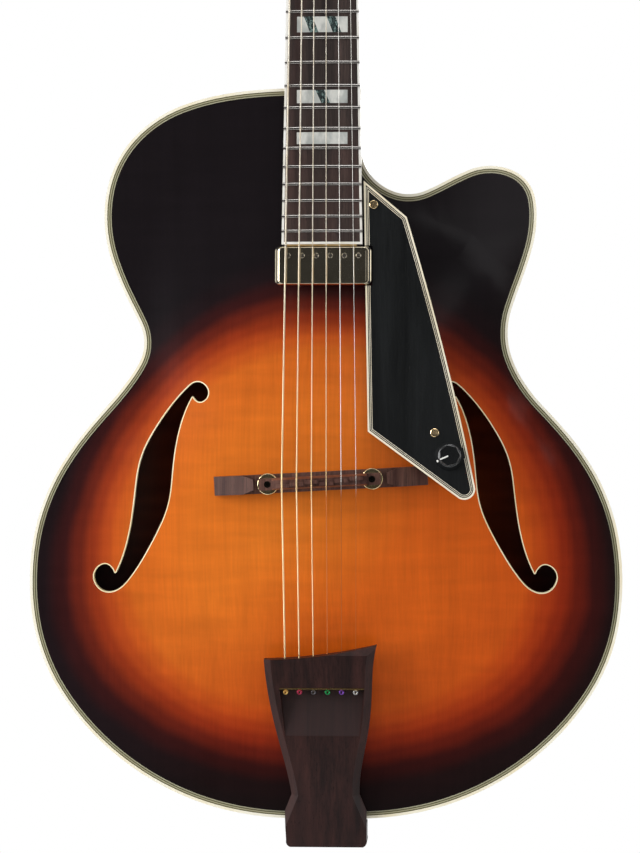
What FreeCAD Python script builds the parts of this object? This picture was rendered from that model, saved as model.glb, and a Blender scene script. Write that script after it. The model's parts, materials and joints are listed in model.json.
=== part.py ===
import FreeCAD, Part
import math
import os
import re
import Sketcher
from FreeCAD import Vector, Placement, Rotation

# Carved archtop guitar with one cutaway, upright: +X treble side, +Y towards the back, +Z along the neck.
# The origin is the middle of the nut, where the fretboard plane crosses the plane of the top's edge.

sizes = {
    # neck line
    "scale_length": 635, "compensation": 2, "neck_angle": 4, "joint_fret": 14, "fret_count": 22,
    "string_offset": -1.5, "overrun": 4, "seat_clearance": 0.1,
    # body
    "body_length": 532, "lower_bout": 432, "rim_depth": 86,
    "top_thickness": 6, "top_arch": 22, "back_thickness": 5, "back_arch": 20, "recurve_depth": 0.8,
    "rib_thickness": 2.5, "rib_seam": 0.5, "lining_width": 6, "lining_height": 14, "seat_depth": 0.6,
    "binding_width": 2, "purfling_width": 3.6, "purfling_depth": 2,
    "head_block_width": 62, "head_block_length": 60, "tail_block_width": 84, "tail_block_length": 24,
    "tone_bar_width": 8, "tone_bar_height": 16, "tone_bar_length": 300, "tone_bar_spread": 84,
    "tone_bar_splay": 3,
    "f_hole_length": 154.5, "f_hole_spread": 251.5, "f_hole_drop": 2, "f_hole_binding": 0.8,
    # neck
    "nut_width": 42.5, "board_end_width": 58, "board_tail": 9.5, "board_thickness": 6.5, "board_radius": 305,
    "board_binding": 1.7, "neck_depth_nut": 14.5, "neck_depth_joint": 18, "tongue_thickness": 9,
    "tongue_inset": 1.5, "heel_length": 62, "heel_cap_thickness": 3, "heel_setback": 3,
    "tenon_width": 20, "tenon_length": 18, "tenon_margin": 10,
    "nut_length": 5, "nut_string_height": 1.5, "nut_land": 1.2, "nut_land_length": 1.2,
    "nut_slot_gap": 0.35, "nut_front": 0.5, "nut_fall": 17,
    "fret_width": 2.4, "fret_height": 1.15, "fret_tang_width": 0.6, "fret_tang_depth": 2,
    "inlay_width": 36.4, "inlay_depth": 1.6,
    "truss_rod_radius": 3, "truss_rod_cover_thickness": 2, "truss_rod_end": 8, "truss_rod_length": 380,
    # headstock and tuners
    "head_angle": 14, "head_length": 190, "head_width": 84, "head_thickness": 15, "veneer_thickness": 2.5,
    "cover_width": 22, "cover_length": 44, "cover_start": 4,
    "tuner_start": 42, "tuner_step": 40, "tuner_spread": 45, "tuner_taper": 5,
    "post_radius": 3, "post_rise": 17, "post_clearance": 0.05, "bushing_radius": 4.4, "bushing_depth": 8,
    "bushing_flange_radius": 6.6, "bushing_flange": 2, "gear_radius": 5.6, "gear_thickness": 4,
    "gear_gap": 3.5, "post_tail": 1, "housing_width": 16, "housing_length": 24, "housing_height": 11,
    "housing_wall": 1.5, "housing_shift": 4, "worm_radius": 2.2, "worm_length": 10, "mesh_gap": 0.2,
    "shaft_radius": 2, "shaft_reach": 11, "button_radius": 10, "button_width": 14, "button_thickness": 9,
    "lug_length": 7, "lug_width": 8, "lug_thickness": 2,
    "screw_head_radius": 2.2, "screw_head_height": 1.3, "screw_shank_radius": 1, "screw_shank_length": 8,
    # strings
    "sixth_string": 1.27, "fifth_string": 1.02, "fourth_string": 0.76, "third_string": 0.56,
    "second_string": 0.41, "first_string": 0.3, "saddle_gap": 0.55, "nut_gap": 0.35,
    "nut_spread": 36, "saddle_spread": 53, "tail_spread": 50.5, "saddle_string_height": 4.4,
    "bend_radius": 10, "winding_gap": 0.45, "winding_clearance": 0.1, "ball_radius": 2, "ball_length": 3.4,
    # bridge
    "bridge_skew": 3, "bridge_length": 154, "bridge_width": 13.6, "bridge_wing": 29, "wing_rise": 5,
    "wing_end_rise": 5.5, "wing_chamfer": 8, "bridge_gap_width": 50, "bridge_gap_height": 2.5,
    "saddle_length": 87.4, "saddle_width": 8.4, "saddle_rise": 15, "ear_height": 5.5, "crown_length": 68,
    "crown_width": 6, "ridge_height": 1.8, "ridge_width": 2.6, "ridge_length": 10,
    "post_spacing": 75, "bridge_post_radius": 2.4, "bridge_post_seat": 5, "bridge_post_socket": 1.5,
    "bridge_post_inset": 0.8, "socket_depth": 2,
    "thumbwheel_radius": 7.9, "thumbwheel_thickness": 3, "thumbwheel_gap": 2.3, "thumbwheel_edge": 0.5,
    # tailpiece
    "tail_top": 130.4, "tail_width": 81, "tail_overhang": 19.5, "tail_front_height": 37,
    "tail_front_depth": 14, "tail_fold": 10, "tail_fold_height": 12, "tail_end_height": 6,
    "tail_hook_depth": 14, "tail_rim_gap": 4, "tail_bevel": 5, "tail_lip": 7,
    "slot_setback": 31.1, "slot_shift": -0.5, "slot_width": 61, "slot_foot_width": 54, "slot_length": 35.8,
    "slot_depth": 9, "strip_thickness": 0.9, "strip_rise": 0.4, "string_hole_radius": 0.9,
    "hanger_thickness": 2, "hanger_width": 30, "hanger_depth": 74, "hanger_screw_spread": 46,
    "hanger_screw_radius": 1.6, "hanger_screw_head_radius": 3.6, "hanger_screw_head": 2,
    "hanger_screw_length": 20,
    "jack_barrel_radius": 6, "jack_barrel_length": 30, "jack_bore_radius": 3.25, "jack_bore_length": 44,
    "jack_flange_radius": 9, "jack_flange": 3, "jack_neck": 8, "jack_head_radius": 8.2, "jack_head": 5,
    "jack_head_edge": 1.5,
    # pickguard and control
    "guard_drop": 3, "guard_thickness": 3.5, "guard_length": 224, "guard_width": 80, "guard_gap": 0.8,
    "guard_start": 420.5, "guard_binding": 4.2, "guard_tip_radius": 7.9,
    "guard_screw_radius": 3.1, "guard_screw_head": 1.4, "guard_screw_shank": 1.5,
    "guard_block_length": 18, "guard_block_width": 15, "guard_block_height": 6, "guard_post_radius": 4,
    "pickup_guard_gap": 0.4,
    "pot_radius": 8.5, "pot_height": 9, "pot_bushing_radius": 3.6, "pot_shaft_radius": 3, "pot_wall": 1.5,
    "knob_radius": 7.8, "knob_skirt_radius": 10.6, "knob_skirt": 2.6, "knob_height": 12.5, "knob_lift": 0.8,
    "pot_shaft_tail": 4, "knob_sides": 7,
    # pickup
    "pickup_length": 69.6, "pickup_width": 28, "pickup_height": 12.5, "pickup_shift": 1, "pickup_wall": 0.8,
    "pickup_corner": 2.7, "pickup_string_gap": 4.2, "pickup_edge": 1.2, "coil_clearance": 0.4,
    "bracket_thickness": 1.2, "bracket_width": 50, "bracket_drop": 1.5,
    "pole_spacing": 10.1, "pole_setback": 7, "pole_radius": 2.2, "pole_head": 0.6, "pole_length": 9,
}

doc = FreeCAD.newDocument("archtop_guitar")
sheet = doc.addObject("Spreadsheet::Sheet", "Sizes")
for row, (name, value) in enumerate(sizes.items(), start=1):
    sheet.set(f"A{row}", name)
    sheet.set(f"B{row}", str(value))
    sheet.setAlias(f"B{row}", name)
doc.recompute()


class SheetReader:
    def __getattr__(self, name):
        return float(sheet.get(name))


size = SheetReader()
nodes = []


def bound(expression):
    return re.sub(r"[a-z][a-z_]*", lambda word: "Sizes." + word.group(), expression)


def worth(expression):
    return float(sheet.evalExpression(bound(expression)))


def node(label, shape, place=None):
    piece = doc.addObject("Part::Feature", label)
    piece.Label = label
    piece.Shape = shape
    if place:
        piece.Placement = place
    nodes.append(piece)
    return piece


def placed(shape, place):
    moved = shape.copy()
    moved.Placement = place.multiply(moved.Placement)
    return moved


def box_node(label, length, width, height, place, keep=True):
    piece = doc.addObject("Part::Box", label)
    piece.Label = label
    for side, expression in (("Length", length), ("Width", width), ("Height", height)):
        piece.setExpression(side, bound(expression))
    piece.Placement = place
    doc.recompute()
    if keep:
        nodes.append(piece)
    return piece


def plane_of(body, role):
    return next(feature for feature in body.Origin.OriginFeatures if feature.Role == role)


def profile_sketch(body, name, plane, corners):
    # a closed run of straight sides, each corner tied to its pair of expressions
    sketch = body.newObject("Sketcher::SketchObject", name)
    sketch.AttachmentSupport = [(plane_of(body, plane), "")]
    sketch.MapMode = "FlatFace"
    points = [Vector(worth(across), worth(along), 0) for across, along in corners]
    count = len(points)
    for index in range(count):
        sketch.addGeometry(Part.LineSegment(points[index], points[(index + 1) % count]), False)
    for index in range(count):
        sketch.addConstraint(Sketcher.Constraint("Coincident", index, 2, (index + 1) % count, 1))
    for index, corner in enumerate(corners):
        for kind, axis, expression in (("DistanceX", -2, corner[0]), ("DistanceY", -1, corner[1])):
            if expression == "0":
                sketch.addConstraint(Sketcher.Constraint("PointOnObject", index, 1, axis))
                continue
            number = sketch.addConstraint(Sketcher.Constraint(kind, -1, 1, index, 1, worth(expression)))
            sketch.setExpression(f"Constraints[{number}]", bound(expression))
    return sketch


def turned(label, corners, place=Placement(), keep=True):
    # a turned piece: corners are (radius, distance along the axis), and the axis is the body's own Y
    body = doc.addObject("PartDesign::Body", label)
    body.Label = label
    sketch = profile_sketch(body, label + "_profile", "XY_Plane", corners)
    turn = body.newObject("PartDesign::Revolution", label + "_turn")
    turn.Profile = sketch
    turn.ReferenceAxis = (sketch, ["V_Axis"])
    turn.Angle = 360
    body.Placement = place
    doc.recompute()
    if keep:
        nodes.append(body)
    return body


def brick(low, high):
    return Part.makeBox(high.x - low.x, high.y - low.y, high.z - low.z, low)


def smooth(points, **ends):
    curve = Part.BSplineCurve()
    curve.interpolate(Points=points, **ends)
    return curve


def prism(wire, front, back):
    face = Part.Face(wire)
    face.translate(Vector(0, front, 0))
    return face.extrude(Vector(0, back - front, 0))


def cylinder_y(radius, x, z, front, back):
    return Part.makeCylinder(radius, back - front, Vector(x, front, z), Vector(0, 1, 0))


# neck and head frames

lean = math.radians(size.neck_angle)
neck_place = Placement(Vector(0, 0, 0), Rotation(Vector(1, 0, 0), -size.neck_angle))
head_drop = size.board_thickness - size.veneer_thickness
head_place = neck_place.multiply(
    Placement(Vector(0, head_drop, size.nut_length), Rotation(Vector(1, 0, 0), -size.head_angle)))


def fret_place(number):
    return size.scale_length * (1 - 2 ** (-number / 12))


joint_place = fret_place(size.joint_fret)
board_length = fret_place(size.fret_count) + size.board_tail
body_top = -joint_place * math.cos(lean)
body_end = body_top - size.body_length
ribs_front = size.top_thickness - size.seat_depth
ribs_back = size.rim_depth - size.back_thickness + size.seat_depth


def board_half(distance):
    return (size.nut_width + (size.board_end_width - size.nut_width) * distance / board_length) / 2


# body outline, from the neck's bass side round the end to the cutaway

outline_shares = [
    (-0.144, 1), (-0.37, 0.99), (-0.581, 0.9555), (-0.695, 0.904), (-0.742, 0.826), (-0.66, 0.71),
    (-0.609, 0.648), (-0.66, 0.604), (-0.81, 0.532), (-0.952, 0.436), (-1, 0.333), (-0.952, 0.2165),
    (-0.827, 0.1344), (-0.62, 0.061), (-0.33, 0.0115), (0, 0), (0.33, 0.0115), (0.62, 0.061),
    (0.827, 0.1344), (0.952, 0.2165), (1, 0.333), (0.955, 0.436), (0.812, 0.532), (0.66, 0.606),
    (0.616, 0.66), (0.6616, 0.737), (0.7125, 0.826), (0.685, 0.87), (0.56, 0.8935), (0.41, 0.8735),
    (0.277, 0.8555), (0.2036, 0.865), (0.149, 0.886), (0.13, 0.903), (0.125, 0.918)]


least_turn = 1e-9


def arc_between(start, way, end):
    chord = end - start
    unit = Vector(chord).normalize()
    side = way - unit * way.dot(unit)
    if side.Length < least_turn:
        return Part.makeLine(start, end)
    rise = chord.Length / 2 * math.tan(way.getAngle(unit) / 2)
    return Part.Arc(start, (start + end) / 2 + side.normalize() * rise, end).toShape()


def biarc(start, start_way, end, end_way):
    gap = end - start
    ways = start_way + end_way
    square = 2 * start_way.dot(end_way) - 2
    linear = gap.dot(ways)
    reach = (linear - math.sqrt(linear * linear - square * gap.dot(gap))) / square
    middle = (start + start_way * reach + end - end_way * reach) / 2
    after = (end - end_way * reach - start - start_way * reach).normalize()
    return [arc_between(start, start_way, middle), arc_between(middle, after, end)]


def tangent_arcs(points):
    # a smooth line through the points as arcs that run into each other
    curve = smooth(points)
    ways = [curve.tangent(curve.parameter(point))[0] for point in points]
    edges = []
    for start, end, way, end_way in zip(points, points[1:], ways, ways[1:]):
        edges += biarc(start, way, end, end_way)
    return edges


def inset_edge(edge, inset):
    # the edge moved to its left, seen from the front
    first, last = edge.FirstParameter, edge.LastParameter
    points = []
    for at in (first, (first + last) / 2, last):
        way = edge.tangentAt(at)
        points.append(edge.valueAt(at) + Vector(-way.z, 0, way.x) * inset)
    if isinstance(edge.Curve, Part.Line):
        return Part.makeLine(points[0], points[2])
    return Part.Arc(*points).toShape()


outline = tangent_arcs([Vector(across * size.lower_bout / 2, 0, body_end + up * size.body_length)
                        for across, up in outline_shares])


def body_wire(inset):
    # the body's outline moved inwards, closed by the cutaway's straight run and the neck's flat
    edges = [inset_edge(edge, inset) for edge in outline]
    start, end = edges[0].valueAt(edges[0].FirstParameter), edges[-1].valueAt(edges[-1].LastParameter)
    corner = Vector(end.x, 0, start.z)
    return Part.Wire(edges + [Part.makeLine(end, corner), Part.makeLine(corner, start)])


def body_ring(outer, inner, front, back):
    return prism(body_wire(outer), front, back).cut(
        prism(body_wire(inner), front - size.overrun, back + size.overrun))


# arch of the plates: full height under the bridge, flat along the edge

crown_share = 0.46
crown = Vector(0, 0, body_end + size.body_length * crown_share)
edge_samples = 720
edge_points = body_wire(0).discretize(edge_samples)
edge_steps = 180
edge_window = 7


def edge_reaches():
    reach = [0] * edge_steps
    for point in edge_points:
        turn = math.atan2(point.z - crown.z, point.x - crown.x) / (2 * math.pi) % 1
        slot = int(turn * edge_steps) % edge_steps
        reach[slot] = max(reach[slot], math.hypot(point.x - crown.x, point.z - crown.z))
    for slot in range(edge_steps):
        if not reach[slot]:
            reach[slot] = reach[slot - 1]
    spread = range(-edge_window, edge_window + 1)
    return [sum(reach[(slot + step) % edge_steps] for step in spread) / len(spread)
            for slot in range(edge_steps)]


edge_reach = edge_reaches()
flat_margin_share = 0.945
oval_share = 0.44
arch_power = 1.5
recurve_start_share = 0.8


def arch_share(x, z):
    turn = math.atan2(z - crown.z, x - crown.x) / (2 * math.pi) % 1 * edge_steps
    slot = int(turn)
    part = turn - slot
    reach = edge_reach[slot % edge_steps] * (1 - part) + edge_reach[(slot + 1) % edge_steps] * part
    oval = size.lower_bout * oval_share
    away = math.hypot(x - crown.x, z - crown.z)
    near = min(1, away / reach)
    ease = near * near * (3 - 2 * near)
    along = min(1, away / ((oval * (1 - ease) + reach * ease) * flat_margin_share))
    dip = max(0, (along - recurve_start_share) / (1 - recurve_start_share))
    return (math.cos(math.pi / 2 * along ** arch_power) ** 2, math.sin(math.pi * dip) ** 2)


grid_across = 20
grid_along = 25


def arched_face(edge, height):
    # height is negative for the top, which rises towards the front
    sign = 1 if height > 0 else -1
    half = size.lower_bout / 2 + size.overrun
    low, high = body_end - size.overrun, body_top + size.overrun
    rows = []
    for column in range(grid_across + 1):
        x = -half + 2 * half * column / grid_across
        rows.append([])
        for step in range(grid_along + 1):
            z = low + (high - low) * step / grid_along
            rise, dip = arch_share(x, z)
            rows[-1].append(Vector(x, edge + height * rise - sign * size.recurve_depth * dip, z))
    surface = Part.BSplineSurface()
    surface.interpolate(rows)
    return surface.toShape()


top_face = arched_face(0, -size.top_arch)
top_slab = top_face.extrude(Vector(0, size.top_thickness, 0))
below_top = top_face.extrude(Vector(0, size.top_arch + size.overrun, 0))


# sound holes, drawn about their middle as shares of their length

upper_f_shares = [(0.197, 0.422), (0.241, 0.398), (0.276, 0.432), (0.258, 0.486), (0.22, 0.5), (0.158, 0.462),
                  (0.096, 0.393), (0.027, 0.297), (-0.055, 0.131), (-0.083, -0.041), (-0.117, -0.247),
                  (-0.174, -0.402)]
lower_f_shares = [(-0.174, -0.402), (-0.234, -0.361), (-0.279, -0.404), (-0.272, -0.461), (-0.241, -0.492),
                  (-0.2, -0.5), (-0.152, -0.482), (-0.097, -0.426), (0.014, -0.247), (0.087, -0.075),
                  (0.109, 0.097), (0.137, 0.269), (0.197, 0.422)]


def f_arcs(shares):
    middle = Vector(-size.f_hole_spread / 2, 0, crown.z - size.f_hole_drop)
    return tangent_arcs([middle + Vector(across, 0, up) * size.f_hole_length for across, up in shares])


def f_wire(inset):
    runs = [f_arcs(upper_f_shares), f_arcs(lower_f_shares)]
    if not inset:
        return Part.Wire(runs[0] + runs[1])
    moved = [[inset_edge(edge, inset) for edge in run] for run in runs]
    edges = []
    for here, after in ((0, 1), (1, 0)):
        notch = runs[after][0].valueAt(runs[after][0].FirstParameter)
        start = moved[here][-1].valueAt(moved[here][-1].LastParameter)
        end = moved[after][0].valueAt(moved[after][0].FirstParameter)
        middle = notch + ((start - notch) + (end - notch)).normalize() * inset
        edges += moved[here] + [Part.Arc(start, middle, end).toShape()]
    return Part.Wire(edges)


def both_sides(shape):
    return [shape, shape.mirror(Vector(0, 0, 0), Vector(1, 0, 0))]


f_front, f_back = -size.top_arch - size.overrun, size.top_thickness + size.overrun
f_holes = both_sides(prism(f_wire(0), f_front, f_back))
f_rings = both_sides(prism(f_wire(0), f_front, f_back).cut(
    prism(f_wire(size.f_hole_binding), f_front - size.overrun, f_back + size.overrun)))


head_blank = box_node("head_block_blank", "head_block_width", "rim_depth", "head_block_length", Placement(
    Vector(-size.head_block_width / 2, 0, body_top - size.rib_thickness - size.head_block_length),
    Rotation()), keep=False).Shape
tail_blank = box_node("tail_block_blank", "tail_block_width", "rim_depth", "tail_block_length", Placement(
    Vector(-size.tail_block_width / 2, 0, body_end + size.rib_thickness), Rotation()), keep=False).Shape
lined = size.rib_thickness + size.lining_width


def plate_seat(front, back):
    # the flat seat where a plate meets the linings and the blocks
    layer = prism(body_wire(0), front, back)
    return [body_ring(0, lined, front, back), head_blank.common(layer), tail_blank.common(layer)]


def make_plates():
    purfled = size.binding_width + size.purfling_width
    trimmed = prism(body_wire(size.binding_width), -size.top_arch - size.overrun, size.rim_depth)
    channel = body_ring(size.binding_width, purfled, -size.overrun, size.purfling_depth)
    seat = plate_seat(ribs_front, size.top_thickness + size.overrun)
    node("top_plate", top_slab.common(trimmed).cut(f_holes + [channel] + seat))
    node("f_hole_bindings", Part.makeCompound([top_slab.common(ring) for ring in f_rings]))
    node("top_binding", body_ring(0, size.binding_width, 0, ribs_front))
    node("top_purfling", body_ring(size.binding_width, purfled, 0, size.purfling_depth))
    back_face = arched_face(size.rim_depth, size.back_arch)
    back_slab = back_face.extrude(Vector(0, -size.back_thickness, 0))
    edge = prism(body_wire(size.binding_width), 0, size.rim_depth + size.back_arch + size.overrun)
    seat = plate_seat(ribs_back - size.back_thickness, ribs_back)
    node("back_plate", back_slab.common(edge).cut(seat))
    node("back_binding", body_ring(0, size.binding_width, ribs_back, size.rim_depth))


# neck tenon, which the ribs and the head block are cut for

tenon_front = ribs_front + size.tenon_margin
tenon_back = ribs_back - size.tenon_margin
tenon = brick(Vector(-size.tenon_width / 2, tenon_front, body_top - size.tenon_length),
              Vector(size.tenon_width / 2, tenon_back, body_top))
jack_depth = (ribs_front + ribs_back) / 2 + size.hanger_thickness
jack_hole = Part.makeCylinder(size.jack_barrel_radius, size.jack_barrel_length + size.overrun,
                              Vector(0, jack_depth, body_end - size.overrun), Vector(0, 0, 1))
hanger_screw_depths = [jack_depth + side * size.hanger_screw_spread / 2 for side in (-1, 1)]


def hanger_screw_shanks():
    start = body_end - size.hanger_thickness
    return [Part.makeCylinder(size.hanger_screw_radius, size.hanger_screw_length,
                              Vector(0, depth, start), Vector(0, 0, 1)) for depth in hanger_screw_depths]


def make_rims():
    far = size.lower_bout + size.body_length
    ring = body_ring(0, size.rib_thickness, ribs_front, ribs_back)
    ring = ring.cut([tenon, jack_hole] + hanger_screw_shanks())
    for label, low, high in (("bass_rib", -far, size.rib_seam), ("treble_rib", size.rib_seam, far)):
        half = brick(Vector(low, -far, body_end - far), Vector(high, far, body_top + far))
        node(label, ring.common(half))
    inside = prism(body_wire(size.rib_thickness), ribs_front, ribs_back)
    node("head_block", head_blank.common(inside).cut(tenon))
    node("tail_block", tail_blank.common(inside).cut([jack_hole] + hanger_screw_shanks()))
    linings = []
    for front in (ribs_front, ribs_back - size.lining_height):
        ring = body_ring(size.rib_thickness, lined, front, front + size.lining_height)
        linings += ring.cut([head_blank, tail_blank]).Solids
    node("linings", Part.makeCompound(linings))


def make_tone_bars():
    under = top_face.copy()
    under.translate(Vector(0, size.top_thickness, 0))
    under_slab = under.extrude(Vector(0, size.tone_bar_height, 0))
    half = Vector(size.tone_bar_width / 2, size.top_arch + size.tone_bar_height, size.tone_bar_length / 2)
    bars = []
    for side in (-1, 1):
        footprint = brick(half.negative(), half)
        footprint.Placement = Placement(Vector(side * size.tone_bar_spread / 2, 0, crown.z),
                                        Rotation(Vector(0, 1, 0), -side * size.tone_bar_splay))
        bars.append(under_slab.common(footprint))
    node("tone_bars", Part.makeCompound(bars))


# neck

oval_steps = 8


def half_oval(width, depth, corner, across, along):
    # a flat side of the given width with half an oval on it
    points = []
    for step in range(oval_steps + 1):
        turn = math.pi * step / oval_steps
        points.append(corner + across * (width / 2 * math.cos(turn)) + along * (depth * math.sin(turn)))
    return Part.Wire([smooth(points).toShape(), Part.makeLine(points[-1], points[0])])


heel_shares = [(0, 1, 1), (0.2, 0.99, 0.66), (0.42, 0.82, 0.5), (0.7, 0.68, 0.44), (1, 0.64, 0.44)]
heel_back = size.rim_depth - size.heel_setback
across_x, along_y, along_z = Vector(1, 0, 0), Vector(0, 1, 0), Vector(0, 0, 1)


def heel_solid():
    sections = []
    front = size.board_thickness
    deep = (heel_back + size.overrun - body_top * math.tan(lean)) / math.cos(lean)
    width = 2 * board_half(joint_place)
    base = -joint_place - size.heel_length
    for depth, wide, long in heel_shares:
        corner = Vector(0, front + depth * (deep - front), base)
        sections.append(half_oval(width * wide, size.heel_length * (1 + long), corner, across_x, along_z))
    heel = placed(Part.makeLoft(sections, True, False), neck_place)
    far = size.body_length
    inside_body = brick(Vector(-far, -far, body_top - far), Vector(far, far, body_top))
    behind = brick(Vector(-far, heel_back, body_top - far), Vector(far, far, far))
    return heel.cut([inside_body, behind])


head_side_shares = [(0.55, -0.063), (0.56, 0.03), (0.7, 0.14), (0.86, 0.34), (0.97, 0.66), (0.985, 0.86),
                    (0.9, 0.96)]


def head_wire():
    half, tall = size.head_width / 2, size.head_length
    right = [Vector(across * half, 0, up * tall) for across, up in head_side_shares]
    left = [Vector(-point.x, 0, point.z) for point in right]
    crest = Part.Arc(right[-1], Vector(0, 0, tall), left[-1]).toShape()
    edges = [smooth(right).toShape(), crest, smooth(left[::-1]).toShape(), Part.makeLine(left[0], right[0])]
    return Part.Wire(edges)


# strings from the bass side: thickness, the tuner's side and row, and turns on the post
string_thicknesses = [size.sixth_string, size.fifth_string, size.fourth_string, size.third_string,
                      size.second_string, size.first_string]
string_sides = [-1, -1, -1, 1, 1, 1]
string_rows = [0, 1, 2, 2, 1, 0]
string_turns = [2.5, 2.5, 2.75, 3, 4, 4]
string_count = len(string_thicknesses)
wound_count = 4


def string_share(index):
    return index / (string_count - 1) - 0.5


def tuner_spot(index):
    row = string_rows[index]
    across = string_sides[index] * (size.tuner_spread + row * size.tuner_taper) / 2
    return across, size.tuner_start + row * size.tuner_step


def screw(place):
    return placed(screw_blank.Shape, place)


screw_blank = turned("screw_blank", [
    ("0", "0"), ("screw_head_radius", "0"), ("screw_head_radius", "screw_head_height"),
    ("screw_shank_radius", "screw_head_height"),
    ("screw_shank_radius", "screw_head_height + screw_shank_length"),
    ("0", "screw_head_height + screw_shank_length")], keep=False)

lug_reach = size.housing_length / 2 - size.housing_shift + size.lug_length / 2


def headstock_screws():
    screws = []
    for index in range(string_count):
        across, up = tuner_spot(index)
        seat = size.head_thickness + size.lug_thickness + size.screw_head_height
        spot = Placement(Vector(across, seat, up - lug_reach), Rotation(Vector(1, 0, 0), 180))
        screws.append(screw(head_place.multiply(spot)))
    rise = -size.truss_rod_cover_thickness - size.screw_head_height
    for across, up in cover_screw_spots():
        screws.append(screw(head_place.multiply(Placement(Vector(across, rise, up), Rotation()))))
    return screws


cover_shares = [(-0.5, 0), (0.5, 0), (0.42, 0.35), (0.2, 0.8), (0, 1), (-0.2, 0.8), (-0.42, 0.35)]
cover_screw_shares = [(-0.34, 0.12), (0.34, 0.12), (0, 0.82)]


def cover_spot(across, up):
    return across * size.cover_width, size.cover_start + up * size.cover_length


def cover_screw_spots():
    return [cover_spot(across, up) for across, up in cover_screw_shares]


def tuner_holes(radius):
    holes = []
    for index in range(string_count):
        across, up = tuner_spot(index)
        hole = cylinder_y(radius, across, up, -size.overrun, size.head_thickness + size.overrun)
        holes.append(placed(hole, head_place))
    return holes


def make_neck():
    depth_slope = (size.neck_depth_joint - size.neck_depth_nut) / joint_place
    sections = []
    for distance in (-size.nut_length - size.overrun / 2, joint_place):
        corner = Vector(0, size.board_thickness, -distance)
        depth = size.neck_depth_nut + depth_slope * distance
        sections.append(half_oval(2 * board_half(max(0, distance)), depth, corner, across_x, along_y))
    shaft = placed(Part.makeLoft(sections, True, True), neck_place)
    tongue_points = []
    for side, distance in ((-1, joint_place), (1, joint_place), (1, board_length), (-1, board_length)):
        tongue_points.append(Vector(side * (board_half(distance) - size.tongue_inset), 0, -distance))
    tongue = prism(Part.makePolygon(tongue_points + tongue_points[:1]), size.board_thickness,
                   size.board_thickness + size.tongue_thickness)
    head = placed(prism(head_wire(), size.veneer_thickness, size.head_thickness), head_place)
    whole = shaft.fuse([heel_solid(), placed(tongue, neck_place), head, tenon])
    far = size.head_width
    seat = brick(Vector(-far, -size.head_length, -board_length - far),
                 Vector(far, size.board_thickness, size.nut_length))
    channel = brick(Vector(-size.truss_rod_radius, size.board_thickness, -size.truss_rod_length),
                    Vector(size.truss_rod_radius, size.board_thickness + 2 * size.truss_rod_radius,
                           size.nut_length + size.truss_rod_end))
    veneer = placed(prism(head_wire(), 0, size.veneer_thickness), head_place)
    cuts = [placed(seat, neck_place), placed(channel, neck_place), veneer] + tuner_holes(size.bushing_radius)
    node("neck", whole.cut(cuts + headstock_screws()).removeSplitter())
    rod_length = size.truss_rod_length + size.nut_length + size.truss_rod_end
    rod_start = Vector(0, size.board_thickness + size.truss_rod_radius, -size.truss_rod_length)
    rod = Part.makeCylinder(size.truss_rod_radius, rod_length, rod_start, along_z)
    node("truss_rod", rod, neck_place)
    cap_wire = half_oval(2 * board_half(joint_place) * heel_shares[-1][1],
                         size.heel_length * heel_shares[-1][2] - size.heel_setback,
                         Vector(0, 0, body_top), across_x, along_z)
    node("heel_cap", prism(cap_wire, heel_back, heel_back + size.heel_cap_thickness))


def make_head_trim():
    wire = head_wire()
    sheet_solid = placed(prism(wire, 0, size.veneer_thickness), head_place)
    far = size.head_width
    nut_room = brick(Vector(-far, -far, -far), Vector(far, far, size.nut_length))
    pocket = brick(Vector(-size.truss_rod_radius, -size.overrun, 0),
                   Vector(size.truss_rod_radius, size.veneer_thickness + size.overrun,
                          size.nut_length + size.truss_rod_end))
    cuts = [placed(nut_room, neck_place), placed(pocket, head_place)] + tuner_holes(size.bushing_radius)
    node("head_veneer", sheet_solid.cut(cuts + headstock_screws()))
    spots = [cover_spot(*share) for share in cover_shares]
    points = [Vector(across, 0, up) for across, up in spots]
    cover = prism(Part.makePolygon(points + points[:1]), -size.truss_rod_cover_thickness, 0)
    node("truss_rod_cover", placed(cover, head_place).cut(headstock_screws()))
    node("headstock_screws", Part.makeCompound(headstock_screws()))


# fretboard, in the neck's own frame

def board_blank(inset):
    points = []
    for side, distance in ((-1, 0), (1, 0), (1, board_length - inset), (-1, board_length - inset)):
        points.append(Vector(side * (board_half(distance) - inset), 0, -distance))
    slab = prism(Part.makePolygon(points + points[:1]), -size.overrun, size.board_thickness)
    return slab.common(board_round())


def board_round():
    return Part.makeCylinder(size.board_radius, board_length + 2 * size.overrun,
                             Vector(0, size.board_radius, -board_length - size.overrun), along_z)


def arc_strip(edges, half):
    # a strip across the board that follows its round, from a profile on the middle plane
    turn = math.degrees(math.asin(half / size.board_radius))
    face = Part.Face(Part.Wire(edges))
    pivot = Vector(0, size.board_radius, 0)
    face.rotate(pivot, along_z, -turn)
    return face.revolve(pivot, along_z, 2 * turn)


def fret_crown(distance):
    low, high = Vector(0, 0, -distance - size.fret_width / 2), Vector(0, 0, -distance + size.fret_width / 2)
    top = Vector(0, -size.fret_height, -distance)
    return arc_strip([Part.Arc(low, top, high).toShape(), Part.makeLine(high, low)], board_half(distance))


def fret_tang(distance):
    half = size.fret_tang_width / 2
    corners = [Vector(0, up, -distance + side * half) for side, up in
               ((-1, 0), (1, 0), (1, size.fret_tang_depth), (-1, size.fret_tang_depth))]
    edges = Part.makePolygon(corners + corners[:1]).Edges
    return arc_strip(edges, board_half(distance) - size.board_binding)


inlay_frets = [1, 3, 5, 7, 9, 12, 15, 17]
inlay_length_share = 0.6
slash_width_share = 0.17
slash_lean_share = 0.12
# middles of the dark shell strips, by fret
slash_shares = {1: (-0.22, 0.2), 3: (-0.24, 0.16), 5: (-0.2, 0.22), 7: (-0.24, 0.2), 9: (-0.2, 0.18),
                12: (-0.22, 0.23), 15: (0.01,)}


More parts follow.
